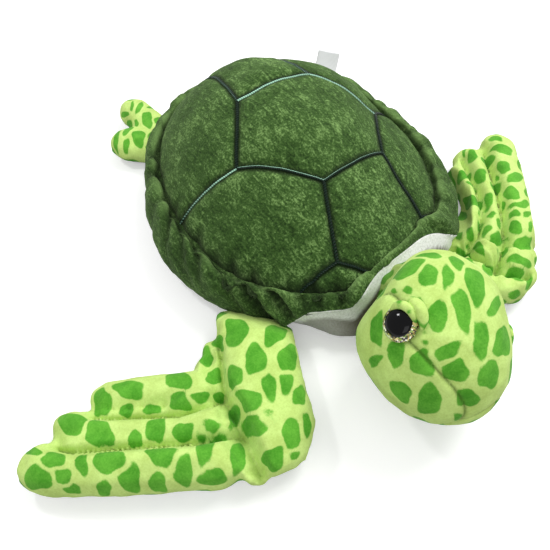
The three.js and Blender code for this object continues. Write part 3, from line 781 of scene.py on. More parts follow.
RIGHT_FLIPPER_PULLS = (
    (220, 318, -7, 0), (220, 335, -5, 0), (296, 326, -7, 0), (298, 345, -5, 0), (303, 368, -2, 0),
    (307, 400, 5, 0), (309, 425, 9, 2), (300, 452, 8, 8), (275, 470, 3, 13), (245, 478, 0, 13),
    (210, 483, 0, 12), (150, 487, 0, 12), (100, 489, 0, 11), (60, 489, 0, 9), (25, 480, -4, 6),
    (20, 462, -6, 0), (185, 368, 0, 4), (150, 374, 0, 3), (115, 379, 0, 3), (94, 395, -1, 1),
    (55, 418, -4, 0),
)
LEFT_FLIPPER_PULLS = (
    (478, 135, 6, 5), (492, 131, 6, 5), (508, 142, 8, 4), (516, 165, 10, 1), (523, 200, 11, 0),
    (529, 235, 10, 0), (530, 262, 8, 0), (528, 285, 6, 3), (450, 163, -5, 0), (465, 147, 2, 0),
    (515, 300, 1, 2), (488, 240, -1, 11), (475, 247, 0, 8),
)
REAR_FLIPPER_PULLS = (
    (113, 132, -9, 0), (126, 126, -9, 0), (118, 150, -3, 5), (135, 156, 0, 4), (125, 112, -5, -2),
    (150, 101, 0, -2),
)
# Each spot as the photograph shows it: its middle across and down, its half sizes, and its tilt in degrees
HEAD_SPOTS = (
    (406.4, 268.3, 16.6, 7, 35), (428, 274.6, 9.2, 11.2, 0), (447.8, 277.2, 6.1, 12.1, -8),
    (428.7, 254.9, 12.8, 3.2, 0), (456.7, 261.9, 9.6, 4.8, -40), (475.9, 283.6, 9.6, 19.1, 22),
    (462.5, 309.1, 8.9, 21, 12), (435.7, 316.7, 12.8, 14.7, 0), (445.3, 352.4, 15.3, 8.3, 25),
    (422.3, 363.3, 14, 12.1, 0), (455.5, 371.6, 13.4, 10.8, 15), (481.6, 338.4, 7.9, 22.3, 5),
    (503.9, 341.6, 7.4, 15.9, 0), (489.9, 374.1, 9.2, 15.9, -10), (467.6, 399, 10.8, 9.6, 15),
    (428.7, 401.6, 12.8, 14, 0), (400, 391.4, 12.8, 7.7, -35), (395.5, 354.4, 7.7, 14.7, 0),
    (376.4, 328.9, 6.6, 15.9, 0), (374.5, 361.4, 5.1, 7.7, -45), (495, 306.5, 5.1, 10.8, -30),
    (458, 417.5, 3.8, 4.5, 0), (379.6, 293.1, 2.6, 4.1, 0), (393.6, 290.6, 2.8, 2.3, 0),
    (408.3, 290.6, 5.7, 3.8, -30), (419.7, 301.4, 2.6, 5.7, 25), (424.2, 341, 3.8, 3.8, 0),
    (424.8, 329.5, 3.6, 7.7, -10), (357.5, 319, 5, 18, 0),
)
LID_SPOTS = ((392.2, 296.5, 8.3, 2.6, 0), (408.8, 312.1, 3.6, 6, 35), (417.5, 330, 2.6, 4.5, 0))
RIGHT_FLIPPER_SPOTS = (
    (101.1, 402.1, 8.4, 15.8, 0), (128.8, 388.4, 15.8, 9.5, 0), (177.9, 377.9, 13.7, 8.4, 0),
    (213.7, 377.9, 8.4, 7.4, 0), (205.9, 355.8, 6.3, 9.5, 0), (127.4, 410.5, 7.4, 7.4, 0),
    (152.6, 409.5, 8.4, 5.3, 0), (178.9, 401.1, 10.5, 10.5, 0), (200, 397.9, 10.5, 6.3, 0),
    (220, 343.2, 6.3, 8.4, 0), (232.6, 376.8, 8.4, 11.6, 0), (70.5, 422.1, 12.6, 12.6, 0),
    (98.9, 432.6, 13.7, 13.7, 0), (134.7, 438.9, 7.4, 8.4, 0), (155.8, 428.4, 9.5, 13.7, 0),
    (183.2, 432.6, 9.5, 10.5, 0), (210.5, 427.4, 12.6, 7.4, 0), (218.9, 397.9, 6.3, 5.3, 0),
    (232.6, 420, 6.3, 10.5, 0), (31.6, 450.5, 8.4, 4.2, 0), (36.8, 478.9, 13.7, 13.7, 0),
    (52.6, 458.9, 12.6, 9.5, 0), (61.7, 475.8, 9.5, 8.4, 0), (81.5, 464.2, 5.9, 11.6, 0),
    (72.6, 489.5, 8.4, 5.3, 0), (108.4, 457.9, 15.8, 14.7, 0), (104.2, 489.5, 8, 7.4, 0),
    (129.5, 478.9, 10.5, 16.8, 0), (157.9, 484.2, 8.4, 9.5, 0), (162.1, 452.6, 14.7, 10.5, 0),
    (182.7, 471.6, 9.5, 17.9, 0), (204.2, 445.3, 8.4, 9.5, 0), (212.6, 478.9, 13.7, 9.5, 0),
    (237.9, 454.7, 8.4, 14.7, 0), (252.6, 426.3, 10.5, 12.6, 0), (235.8, 330.5, 11.6, 13.7, 0),
    (275.8, 331.6, 11.6, 8.4, 0), (255.8, 358.9, 11.6, 13.7, 0), (289.5, 356.8, 9.5, 13.7, 0),
    (246.3, 401.1, 11.6, 11.6, 0), (269.5, 387.4, 7.4, 13.7, 0), (286.7, 383.2, 6.3, 11.6, 0),
    (300, 394.7, 6.3, 10.5, 0), (267.4, 416.8, 9.5, 7.4, 0), (292.6, 432.6, 10.5, 15.8, 0),
    (306.3, 424.2, 5.3, 12.6, 0), (270.5, 461.1, 10.5, 12.6, 0), (294.7, 454.7, 5.3, 5.3, 0),
)
LEFT_FLIPPER_SPOTS = (
    (495.5, 138.2, 7.3, 2.4, 0), (502.7, 148.5, 10.9, 5.1, -5), (503.9, 167.3, 7.3, 7.5, 20),
    (519.1, 165.5, 2.4, 6.1, 0), (514.8, 176.4, 9.7, 4.8, -5), (511.2, 192.7, 8.5, 7.3, 0),
    (526.4, 192.7, 1.9, 4.8, 0), (522.1, 203.6, 9.1, 4.4, 0), (513.6, 213.9, 7, 4, 35),
    (527.6, 213.9, 4.2, 3, 0), (514.8, 226.7, 7, 8.5, -20), (530.8, 226.7, 1.9, 6.1, 0),
    (524.5, 242.4, 9.1, 7.5, 0), (520.3, 261.2, 12.1, 6.1, -25), (513, 276.4, 10.3, 9.9, 0),
    (528.8, 282.4, 2.7, 6.1, 0), (515.5, 295.8, 7.3, 4.2, 0), (463.9, 152.7, 2.2, 6.1, 0),
    (471.2, 155.8, 6.1, 6.3, 30), (487, 163.6, 8.5, 4.1, -15), (480.3, 175.2, 5.8, 7.5, 0),
    (497.9, 179.4, 4.4, 3.2, -40), (494.2, 190.3, 8.5, 4.4, -15), (488.2, 201.2, 4.6, 8.2, 0),
    (503.3, 206.1, 2.9, 5.8, 0), (490, 215.2, 6.8, 3.6, 20), (499.1, 223, 4.2, 5.5, 0),
    (485.8, 230.3, 7.5, 5.5, 45), (498.5, 238.8, 8.2, 7.3, 0), (504.5, 252.1, 3.6, 7.5, -25),
    (463.3, 175.2, 8, 4.8, 20), (471.2, 184.2, 6.1, 1.9, -20), (469.4, 201.8, 8.5, 6.3, 15),
    (462.7, 217, 6.1, 5.1, -20), (479.1, 214.5, 2.2, 4.2, 0), (478.5, 225.5, 2.9, 7, 0),
    (470, 234.5, 3.4, 8.7, 0), (466.4, 246.1, 4.8, 3.6, 0), (459.1, 236.4, 3.4, 5.8, 0),
    (477.9, 247.3, 5.8, 3.2, 0), (488.2, 267.9, 5.1, 6.8, 20), (501.5, 266.7, 3.4, 2.9, 0),
)
REAR_FLIPPER_SPOTS = (
    (147.2, 119.3, 5.6, 7.7, 0), (138.5, 136.9, 6.9, 8.2, -10), (127.8, 129.5, 6.1, 3.2, 45),
    (125.8, 145.6, 3, 7.7, 0), (115.8, 139, 2.4, 11.7, -8), (123, 122.7, 9.7, 1.9, 15),
    (125, 114.5, 4.6, 2.8, 25), (139.5, 106.8, 5.9, 2.6, 62), (131.9, 106.3, 1.8, 5.4, -15),
    (147.4, 101.2, 4.6, 1.6, -25), (151.5, 107.9, 4.1, 1.6, -15), (136.5, 123.2, 2.2, 3.2, 0),
    (157.7, 120.1, 4.1, 2.8, 20), (151, 133.4, 5.9, 1.5, 50), (150.5, 147.7, 4.3, 4.3, 0),
    (110.5, 140.5, 0.9, 5.1, 0),
)


# ---------------------------------------------------------------- print


@dataclass
class Spot:
    """One printed spot: a pebble outline in its own axes on the fabric."""

    middle: np.ndarray
    inward: np.ndarray
    size: float
    lumps: tuple[float, float, float]
    squareness: float

    def depth(self, points: np.ndarray) -> np.ndarray:
        """How far inside the outline each point lies, in metres; it is negative outside."""
        own = (points - self.middle) @ self.inward.T
        turn = np.arctan2(own[:, 1], own[:, 0])
        edge = (np.abs(own[:, :2]) ** self.squareness).sum(axis=1) ** (1 / self.squareness)
        a, b, c = self.lumps
        edge *= 1 + 0.09 * np.sin(2 * turn + a) + 0.09 * np.sin(3 * turn + b) + 0.05 * np.sin(5 * turn + c)
        return (1 - np.hypot(edge, own[:, 2])) * self.size


@dataclass
class SpotPrint:
    """The pebble print: spots where the photograph shows them, and scattered ones where it shows none."""

    drawn: Sequence[tuple[float, float, float, float, float]] = ()
    own_nodes: Sequence[str] = ()
    seed: int = 5
    smallest: float = 4.5 * MM
    largest: float = 9.5 * MM
    gap: float = 3.0 * MM
    wrap: float = 14 * MM
    bare_line: float = 1.1 * MM
    most_tries: int = 5000
    grazing: float = 0.42

    def __post_init__(self) -> None:
        """Starts the print's own chance."""
        self.chance = np.random.default_rng(self.seed)

    def spot(self, middle: np.ndarray, axes: np.ndarray, size: float) -> Spot:
        """A spot whose outline reaches to each of two axes on the fabric.

        Args:
            middle: its middle.
            axes: columns of the two half axes and the outward direction.
            size: its smaller half size in metres.

        Returns:
            The spot, with its own uneven outline.
        """
        lumps = tuple(self.chance.uniform(0, 2 * math.pi, 3))
        return Spot(middle, np.linalg.inv(axes), size, lumps, float(self.chance.uniform(2.1, 2.9)))

    def laid(self, skin: BVHTree, points: np.ndarray, facing: np.ndarray) -> list[Spot]:
        """Lays the drawn spots on the fabric along the photograph's sights."""
        eye = np.array(VIEW.place)
        spots = []
        for across, down, wide, tall, tilt in self.drawn:
            place = skin.ray_cast(Vector(VIEW.place), VIEW.sight(across, down))[0]
            if not place:
                continue
            middle = np.array(place)
            near = np.linalg.norm(points - middle, axis=1) < 7 * MM
            normal = facing[near].sum(axis=0)
            normal /= np.linalg.norm(normal)
            toward = (eye - middle) / np.linalg.norm(eye - middle)
            # A spot seen too flat would be drawn out without end, so its plane is turned toward the viewpoint
            normal = normal + max(0.0, self.grazing - normal @ toward) * 1.2 * toward
            normal /= np.linalg.norm(normal)
            steps = []
            for aim in (VIEW.sight(across + 1, down), VIEW.sight(across, down - 1)):
                line = np.array(aim)
                steps.append(eye + line * ((middle - eye) @ normal) / (line @ normal) - middle)
            lean = math.radians(tilt)
            long_way = wide * (math.cos(lean) * steps[0] + math.sin(lean) * steps[1])
            short_way = tall * (math.cos(lean) * steps[1] - math.sin(lean) * steps[0])
            size = min(np.linalg.norm(long_way), np.linalg.norm(short_way))
            spots.append(self.spot(middle, np.column_stack([long_way, short_way, normal * self.wrap]), size))
        return spots

    def scattered(
        self, taken: list[Spot], skin: BVHTree, points: np.ndarray, facing: np.ndarray,
    ) -> list[Spot]:
        """Scatters spots where the photograph can't see, or over the whole piece if none is drawn."""
        others = [node for name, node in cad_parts.items() if name not in self.own_nodes]
        trees = [skin, *(sight_tree(node) for node in others)] if self.drawn else []
        middles = [spot.middle for spot in taken]
        reaches = [1.15 * spot.size for spot in taken]
        spots = []
        for index in self.chance.permutation(len(points))[:self.most_tries]:
            point, normal = points[index], facing[index]
            reach = self.chance.uniform(self.smallest, self.largest)
            if middles:
                apart = np.linalg.norm(np.array(middles) - point, axis=1) - np.array(reaches)
                if np.min(apart) < reach + self.gap:
                    continue
            if trees and self.in_view(point, normal, trees):
                continue
            side = np.cross(normal, self.chance.normal(size=3))
            side /= np.linalg.norm(side)
            wide, tall = reach * self.chance.uniform(1, 1.3), reach * self.chance.uniform(0.75, 1)
            axes = np.column_stack([wide * side, tall * np.cross(normal, side), normal * self.wrap])
            spots.append(self.spot(point, axes, tall))
            middles.append(point)
            reaches.append(reach)
        return spots

    def in_view(self, point: np.ndarray, normal: np.ndarray, trees: list[BVHTree]) -> bool:
        """Whether the photograph's viewpoint sees the fabric at a point, past everything in the way."""
        start = Vector(point + 1.5 * MM * normal)
        aim = (Vector(VIEW.place) - start).normalized()
        return aim.dot(Vector(normal)) > 0.05 and not any(tree.ray_cast(start, aim)[0] for tree in trees)

    def apply(self, piece: bpy.types.Object) -> None:
        """Stores at each point how far inside a spot it lies, in millimetres; it is negative outside."""
        points, facing = places(piece), normals(piece)
        skin = sight_tree(piece)
        spots = self.laid(skin, points, facing)
        spots += self.scattered(spots, skin, points, facing)
        best, second = np.full(len(points), -0.02), np.full(len(points), -0.02)
        for spot in spots:
            depth = spot.depth(points)
            second = np.maximum(second, np.minimum(best, depth))
            best = np.maximum(best, depth)
        # A line of bare ground always parts two spots
        values = np.minimum(best, (best - second) / 2 - self.bare_line)
        set_values(piece, "print_mm", values / MM + 0.5 * waves(points, 8 * MM, 3.1))
        LOG.info("%s: %d spots", piece.name, len(spots))


# ---------------------------------------------------------------- shell


@dataclass
class Shell:
    """The stuffed shell: a quilted dome, a gathered rim, and a white belly that climbs round the neck."""

    wardrobe: Wardrobe
    half_length: float = 130 * MM
    half_width: float = 104 * MM
    seam_height: float = 52 * MM
    dome_height: float = 65 * MM
    rim_overhang: float = 16 * MM
    belly_seam_height: float = 8 * MM
    lining_start: float = 98 * MM
    lining_slope: float = math.radians(58)
    thread_width: float = 2.3 * MM
    # The direction across which the stitches' painted highlight is strongest
    highlight_axis: tuple[float, float, float] = (0.8, -0.6, 0.0)
    quilt_depth: float = 2.6 * MM
    front_drop: float = 7 * MM
    front_spread: float = 0.05
    pleat_count: int = 40
    rear_rise: float = 0.35
    spoke_end: float = 0.985
    body: str = "shell"

    def __post_init__(self) -> None:
        """Works out the embroidered lines and the rim's pleats."""
        corners = {
            "rear_right": (-0.26, 0.153), "side_right": (-0.547, -0.128), "front_right": (-0.154, -0.505),
            "front_left": (0.394, -0.5), "side_left": (0.697, -0.18), "rear_left": (0.317, 0.092),
            "brow_right": (-0.372, -0.817), "brow_left": (0.332, -0.877),
        }
        edges = [
            ("rear_right", "side_right"), ("side_right", "front_right"), ("front_right", "front_left"),
            ("front_left", "side_left"), ("side_left", "rear_left"), ("rear_left", "rear_right"),
            ("front_right", "brow_right"), ("front_left", "brow_left"),
        ]
        spokes = [
            ("rear_right", -176), ("side_right", -93), ("brow_right", -40), ("brow_right", -11.5),
            ("brow_left", 11), ("brow_left", 26), ("side_left", 87), ("rear_left", 158),
        ]
        self.lines = [(self.flat(*corners[a]), self.flat(*corners[b])) for a, b in edges]
        for corner, degrees in spokes:
            angle = math.radians(degrees)
            edge = self.spoke_end * float(self.reach(np.array(angle)))
            end = self.flat(edge * math.sin(angle), -edge * math.cos(angle))
            self.lines.append((self.flat(*corners[corner]), end))
        chance = np.random.default_rng(11)
        angles = np.linspace(-math.pi, math.pi, self.pleat_count, endpoint=False)
        angles = angles + chance.uniform(-0.055, 0.055, self.pleat_count)
        # The gathers are strongest where the photograph shows the rim's right side bunched up
        bunched = bell(angles + 1.2, 0.7)
        self.pleats = [
            (angle, (1.2 + 4.6 * b) * chance.uniform(0.35, 1.3) * MM, 0.34 * b + chance.uniform(-0.13, 0.1),
             chance.uniform(0.018, 0.034), chance.uniform(0.45, 1.3))
            for angle, b in zip(angles, bunched)
        ]

    def flat(self, across: float, along: float) -> tuple[float, float]:
        """A place on the shell from shares of its half width and half length."""
        return (across * self.half_width, along * self.half_length)

    def round_plane(self, share: np.ndarray, angle: np.ndarray, edge: float = 0.0) -> np.ndarray:
        """Places seen from above, from shares of the half sizes and the angle round the shell."""
        across, along = share * (self.half_width + edge), share * (self.half_length + edge)
        return np.column_stack([across * np.sin(angle), -along * np.cos(angle)])

    def in_front(self, angle: np.ndarray) -> np.ndarray:
        """How far each place round the shell belongs to its front, where the stuffing sags forward."""
        return bell(angle + 0.82, 0.5, 4)

    def reach(self, angle: np.ndarray) -> np.ndarray:
        """How far out the dome's seam lies, as a share of the shell's half sizes."""
        return 1 + self.front_spread * self.in_front(angle)

    def round_about(self, plane: np.ndarray) -> tuple[np.ndarray, np.ndarray]:
        """Each place's angle round the shell and its share of the way out to the dome's seam."""
        across, along = plane[:, 0] / self.half_width, plane[:, 1] / self.half_length
        angle = np.arctan2(across, -along)
        return angle, np.hypot(across, along) / self.reach(angle)

    def smooth_height(self, plane: np.ndarray) -> np.ndarray:
        """The dome's height before it is quilted."""
        angle, share = self.round_about(plane)
        drop = self.front_drop * self.in_front(angle)
        top = self.dome_height * (1 + self.rear_rise * plane[:, 1] / self.half_length) + drop
        return self.seam_height - drop + top * (1 - np.minimum(share, 1)**2.1) ** 1.1

    def dome_height_at(self, plane: np.ndarray) -> np.ndarray:
        """The quilted dome's height: sunk under the thread, puffed between, pinched at the seam.

        Args:
            plane: places seen from above, in metres.

        Returns:
            The height over each place.
        """
        apart = np.min([segment_distance(plane, a, b) for a, b in self.lines], axis=0) / MM
        angle, share = self.round_about(plane)
        puff = 2.4 * (1 - bell(apart, 24)) * np.clip((1 - share) / 0.12, 0, 1)
        sunk = self.quilt_depth / MM * bell(apart, 4.2) * np.clip((1 - share) / 0.03, 0, 1)
        pinch = 4.0 * bell(1 - share, 0.03)
        gathers = self.pleat_field(angle, np.zeros(len(plane))) / MM * bell(1 - share, 0.07)
        flat_points = np.column_stack([plane, np.zeros(len(plane))])
        swell = 1.1 * waves(flat_points, 34 * MM, 1.7) + 0.5 * waves(flat_points, 13 * MM, 5.2)
        return self.smooth_height(plane) + (puff - sunk - pinch - gathers + swell * (share < 0.999)) * MM

    def pleat_field(self, angle: np.ndarray, down: np.ndarray) -> np.ndarray:
        """How deep the rim's pleats pull the fabric in.

        Args:
            angle: the place round the shell.
            down: how far down the rim, from 0 at the dome's seam to 1 at the belly's.

        Returns:
            A depth in metres for each place.
        """
        depth = np.zeros(len(angle))
        for centre, strength, slant, width, reach in self.pleats:
            off = (angle - centre - slant * down + math.pi) % (2 * math.pi) - math.pi
            fade = bell(down, reach)
            narrow = bell(off, width)
            broad = 0.5 * bell(off, 2.6 * width)
            depth += strength * fade * (narrow + broad)
        return depth

    def make_dome(self) -> bpy.types.Object:
        """The quilted plush dome, closed under its seam."""
        dome = add_ball("carapace_plush_dome", 360, 150)
        with editing(dome):
            bpy.ops.mesh.bisect(plane_co=(0, 0, -0.001), plane_no=(0, 0, 1), use_fill=False, clear_inner=True)
        ball = places(dome)
        polar = np.arccos(np.clip(ball[:, 2], -1, 1))
        share = np.clip(polar / (math.pi / 2), 0, 1)
        turn = np.arctan2(ball[:, 0], -ball[:, 1])
        out = share * self.reach(turn)
        plane = self.round_plane(out, turn)
        move_to(dome, np.column_stack([plane, self.dome_height_at(plane)]))
        stitched = np.min([segment_distance(plane, a, b) for a, b in self.lines], axis=0) / MM
        gathers = self.pleat_field(turn, np.zeros(len(plane))) * bell(1 - share, 0.06)
        # Painted shade in the quilting grooves beside the thread and in the gathers' folds; the dome's own
        # seam is darkened as a seam
        seam_and_crease_shade = 0.95 * bell(stitched, 2.8, 4) + 0.9 * bell(1 - share, 0.022)
        set_values(dome, "seam", np.clip(seam_and_crease_shade + gathers / (5 * MM), 0, 0.9))
        with editing(dome, "DESELECT"):
            bpy.ops.mesh.select_non_manifold()
            bpy.ops.mesh.extrude_region_move(TRANSFORM_OT_translate={"value": (0, 0, -4 * MM)})
            bpy.ops.transform.resize(value=(0.94, 0.94, 1), center_override=(0, 0, 0))
            bpy.ops.mesh.edge_face_add()
        face_outward(dome)
        move_to(dome, VIEW.drawn(places(dome), SHELL_PULLS))
        self.finish(dome, Slot.DARK_PLUSH, "carapace_cover")
        return dome

    def rim_profile(self, count: int) -> np.ndarray:
        """The rim's closed section.

        Args:
            count: how many places go round it.

        Returns:
            Rows of distance out from the dome's seam, height, and share of the way down the outside.
        """
        rise = self.seam_height - self.belly_seam_height
        outer = [(0, 0.94), (0.2, 1.05), (0.58, 0.98), (0.92, 0.7), (1.03, 0.38), (0.88, 0.1), (0.4, 0.0)]
        knots = [(o * self.rim_overhang, self.belly_seam_height + r * rise, i / 6)
                 for i, (o, r) in enumerate(outer)]
        knots += [(-5 * MM, 11 * MM, 1), (-9 * MM, 28 * MM, 1), (-6 * MM, 44 * MM, 0)]
        held = np.array(knots)
        dense = []
        for i in range(len(held)):
            a, b, c, d = (held[(i + k) % len(held)] for k in (-1, 0, 1, 2))
            steps = 40 if i < 7 else 12
            for t in np.arange(steps) / steps:
                dense.append(0.5 * ((2 * b) + (c - a) * t + (2 * a - 5 * b + 4 * c - d) * t**2
                                    + (3 * b - a - 3 * c + d) * t**3))
        dense = np.array(dense)
        pick = np.linspace(0, len(dense), count, endpoint=False)
        return dense[pick.astype(int)]

    def lining_side(self, points: np.ndarray) -> np.ndarray:
        """How far each point lies above the sloping seam where the white lining meets the rim."""
        along = points[:, 1] + self.lining_dip(points)
        return ((points[:, 2] - self.belly_seam_height) * math.cos(self.lining_slope)
                + (along + self.lining_start) * math.sin(self.lining_slope))

    def lining_dip(self, points: np.ndarray) -> np.ndarray:
        """How much further forward the lining's seam runs beside the neck than over it."""
        beside = 19.5 * MM * (1 - bell(points[:, 0] - 2 * MM, 44 * MM, 4))
        return beside - 18 * MM * np.clip((-points[:, 0] - 48 * MM) / (25 * MM), 0, 1)

    def make_rim(self) -> bpy.types.Object:
        """The puffy rim band as a closed ring, before the lining is cut from it."""
        turns, sections = 480, 72
        deselect_all()
        bpy.ops.mesh.primitive_torus_add(major_segments=turns, minor_segments=sections,
                                         major_radius=1, minor_radius=0.25)
        rim = new_primitive("rim_band_plush")
        ring = places(rim)
        angle = np.arctan2(ring[:, 0], -ring[:, 1])
        # The ring's small turn starts outside and climbs, so it is run backward from the top seam
        minor = np.arctan2(ring[:, 2], np.hypot(ring[:, 0], ring[:, 1]) - 1)
        order = np.round((math.pi / 2 - minor) / (2 * math.pi) * sections).astype(int) % sections
        section = self.rim_profile(sections)[order]
        out, height, down = section[:, 0], section[:, 1], np.clip(section[:, 2], 0, 1)
        outward = np.column_stack([np.sin(angle), -np.cos(angle), np.zeros(len(angle))])
        base = np.column_stack([self.half_width * np.sin(angle), -self.half_length * np.cos(angle),
                                np.zeros(len(angle))]) * self.reach(angle)[:, None]
        # In front the rim is narrower and lower, and its outline stays
        front = self.in_front(angle)
        narrower = 1 - front * self.front_spread * np.hypot(base[:, 0], base[:, 1]) / self.rim_overhang
        base = base + outward * (out * np.maximum(narrower, 0.5))[:, None]
        lower = 1 - front * self.front_drop / (self.seam_height - self.belly_seam_height)
        base[:, 2] = self.belly_seam_height + (height - self.belly_seam_height) * lower
        move_to(rim, base)
        facing = normals(rim)
        outside = np.clip((out + 3 * MM) / (5 * MM), 0, 1)
        rounded = np.sin(np.pi * np.clip(down, 0.02, 0.98)) ** 0.5
        puff = 2.6 * MM * rounded
        puff += 2.2 * MM * waves(base, 26 * MM, 2.2) + 1.0 * MM * waves(base, 11 * MM, 7.7)
        depth = self.pleat_field(angle, down)
        slope = self.lining_side(base) / MM
        gathered = np.clip((slope + 1) / 5, 0.12, 1)
        move = (puff * (0.4 + 0.6 * gathered) - 1.5 * depth * gathered) * outside
        # The rim's front edge rolls over the lining
        hollow = 1.2 + 1.6 * np.clip((-slope - 6) / 7, 0, 1)
        rolled = np.where(slope > 0, 2.4 * bell(slope - 4, 5), -hollow)
        move += rolled * MM * (slope < 22) * outside
        base = base + facing * move[:, None]
        base[:, 2] = np.maximum(base[:, 2], self.belly_seam_height * 0.75)
        # Over the neck the rim is rolled back on to the dome
        over = bell(angle - 0.06, 0.36, 4) * np.clip((base[:, 2] - 38 * MM) / (12 * MM), 0, 1)
        base = base * (1 - np.outer(over, (0.07, 0.07, 0))) + np.outer(over, (0, 0, 5.2 * MM))
        move_to(rim, base)
        apply_modifier(rim, "SMOOTH", factor=0.4, iterations=1)
        # Painted shade darkens the pleats' folds; the seam to the dome is darkened as a seam
        seam_and_crease_shade = np.clip(depth * gathered / (5 * MM), 0, 0.85)
        seam_and_crease_shade += 0.6 * bell(down, 0.05) * (1 - over)
        set_values(rim, "seam", np.clip(seam_and_crease_shade * outside, 0, 0.9))
        # Painted highlight: the rim's upper roll between the pleats is coloured pale
        lit_crest = bell(down - 0.13, 0.1) * np.clip(1 - depth / (2.5 * MM), 0, 1)
        set_values(rim, "lit_crest", 0.55 * lit_crest * outside)
        return rim

    def make_belly(self) -> bpy.types.Object:
        """The flat white belly, a closed pad that turns up to its seam."""
        belly = add_ball("belly_plush", 144, 48)
        ball = places(belly)
        polar = np.arccos(np.clip(ball[:, 2], -1, 1))
        under = polar > math.pi / 2
        share = np.sin(np.where(under, np.pi - polar, polar)) ** 0.8
        angle = np.arctan2(ball[:, 0], -ball[:, 1])
        plane = self.round_plane(share, angle, edge=5 * MM)
        rise = self.belly_seam_height * np.clip((share - 0.86) / 0.14, 0, 1) ** 1.6
        height = np.where(under, rise, 12 * MM - 2 * MM * share)
        move_to(belly, np.column_stack([plane, height]))
        return belly

    def paint_hollow_shade(self, belly: bpy.types.Object) -> None:
        """Paints shade on the white pile beyond the lining's lit strip, round the neck and under the rim."""
        points = places(belly)
        beyond = -self.lining_side(points) / MM
        # The strip is broad behind the head and thins to a line under the rim
        neck = np.clip((points[:, 0] / MM + 62) / 16, 0, 1)
        strip = 3 + 6.5 * neck
        # Painted shade: darkest deep behind the head, lighter under the rim, fading out near the floor
        depth = (0.6 + 0.35 * neck) * np.clip((points[:, 2] / MM - 4) / 5, 0, 1)
        set_values(belly, "seam", depth * np.clip((beyond - strip) / 2.5, 0, 1) * (points[:, 1] < -90 * MM))

    def finish(self, piece: bpy.types.Object, slot: Slot, *nodes: str) -> None:
        """Dresses a piece of the shell and joins it to its body."""
        self.wardrobe.dress(piece, slot)
        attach(piece, self.body)
        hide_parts(*nodes)

    def make_embroidery(self) -> bpy.types.Object:
        """The satin-stitched lines: flat cords of slanted stitches that lie in the quilting."""
        step, sides = 0.7 * MM, 8
        points: list[np.ndarray] = []
        faces: list[tuple[int, ...]] = []
        uvs: list[tuple[float, float]] = []
        gloss: list[float] = []
        for start, end in self.lines:
            a, b = np.array(start), np.array(end)
            count = max(3, int(np.linalg.norm(b - a) / step))
            path = a + (b - a) * np.linspace(0, 1, count)[:, None]
            sideways = np.array([-(b - a)[1], (b - a)[0]]) / np.linalg.norm(b - a)
            wander = waves(np.column_stack([path, np.zeros(count)]), 40 * MM, 9.1) * 0.9 * MM
            path = path + sideways * (wander * np.sin(np.linspace(0, math.pi, count)))[:, None]
            height = self.dome_height_at(path)
            centre = np.column_stack([path, height + 0.5 * MM])
            along = np.gradient(centre, axis=0)
            along /= np.linalg.norm(along, axis=1, keepdims=True)
            side = np.column_stack([np.tile(sideways, (count, 1)), np.zeros(count)])
            up = np.cross(along, side)
            up *= np.sign(up[:, 2:3])
            first = len(points)
            run = np.arange(count) * step
            for corner in range(sides):
                turn = 2 * math.pi * corner / sides
                wide, tall = self.thread_width / 2 * math.cos(turn), 0.75 * MM * math.sin(turn)
                swell = 1 + 0.1 * np.sin(2 * math.pi * (run + 0.5 * wide) / (1.6 * MM))
                ring = centre + side * (wide * swell)[:, None] + up * (tall * swell)[:, None]
                points.extend(ring)
                # The gloss values are a painted highlight: strongest on lines square to the highlight axis,
                # none on the lines at the front
                level = (along @ np.array(self.highlight_axis)) ** 2
                gloss.extend(level * np.clip((path[:, 1] / self.half_length + 0.58) / 0.08, 0, 1))
            for corner in range(sides):
                after = (corner + 1) % sides
                for i in range(count - 1):
                    p, q = first + corner * count + i, first + after * count + i
                    faces.append((p, p + 1, q + 1, q))
            faces.append(tuple(first + corner * count for corner in range(sides)))
            faces.append(tuple(first + corner * count + count - 1 for corner in reversed(range(sides))))
            for corner in range(sides):
                wide = self.thread_width / 2 * math.cos(2 * math.pi * corner / sides)
                uvs.extend((float(r), wide) for r in run)
        drawn = [tuple(p) for p in VIEW.drawn(np.array(points), SHELL_PULLS)]
        piece = new_mesh("scute_satin_stitch", drawn, faces)
        layer = piece.data.uv_layers.new(name="stitch")
        for loop in piece.data.loops:
            layer.data[loop.index].uv = uvs[loop.vertex_index]
        set_values(piece, "gloss", np.array(gloss))
        face_outward(piece)
        self.wardrobe.dress(piece, Slot.THREAD)
        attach(piece, self.body)
        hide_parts("scute_embroidery")
        return piece

    def make_label(self) -> bpy.types.Object:
        """The blank ribbon label, curled a little, as long and wide as the node it stands for."""
        points = places(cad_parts["sewn_label"])
        centre = points.mean(axis=0)
        axes = np.linalg.svd(points - centre, full_matrices=False)[2]
        spans = [float(np.ptp((points - centre) @ axis)) for axis in axes]
        long_way, wide_way, thick_way = (axes[i] for i in np.argsort(spans)[::-1])
        if long_way[2] < 0:
            long_way = -long_way
        length, width, _ = sorted(spans, reverse=True)
        deselect_all()
        bpy.ops.mesh.primitive_grid_add(x_subdivisions=24, y_subdivisions=16, size=1)
        label = new_primitive("blank_ribbon_label")
        sheet = places(label)
        along = sheet[:, 0:1] * length
        across = sheet[:, 1:2] * width
        curl = 1.6 * MM * np.sin(np.pi * (sheet[:, 0:1] + 0.5)) + 0.7 * MM * np.sin(5 * sheet[:, 1:2] + 1)
        move_to(label, centre + along * long_way + across * wide_way + curl * thick_way)
        apply_modifier(label, "SOLIDIFY", thickness=0.5 * MM, offset=0)
        self.wardrobe.dress(label, Slot.RIBBON)
        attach(label, self.body)
        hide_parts("sewn_label")
        return label

    def build(self) -> None:
        """Builds the whole shell."""
        self.make_dome()
        rim = self.make_rim()
        belly = self.make_belly()
        lining = plain_copy(rim, "neck_lining_plush")
        slope = (0, math.sin(self.lining_slope), math.cos(self.lining_slope))
        seam = (0, -self.lining_start, self.belly_seam_height)
        for piece, facing in ((rim, slope), (lining, [-part for part in slope])):
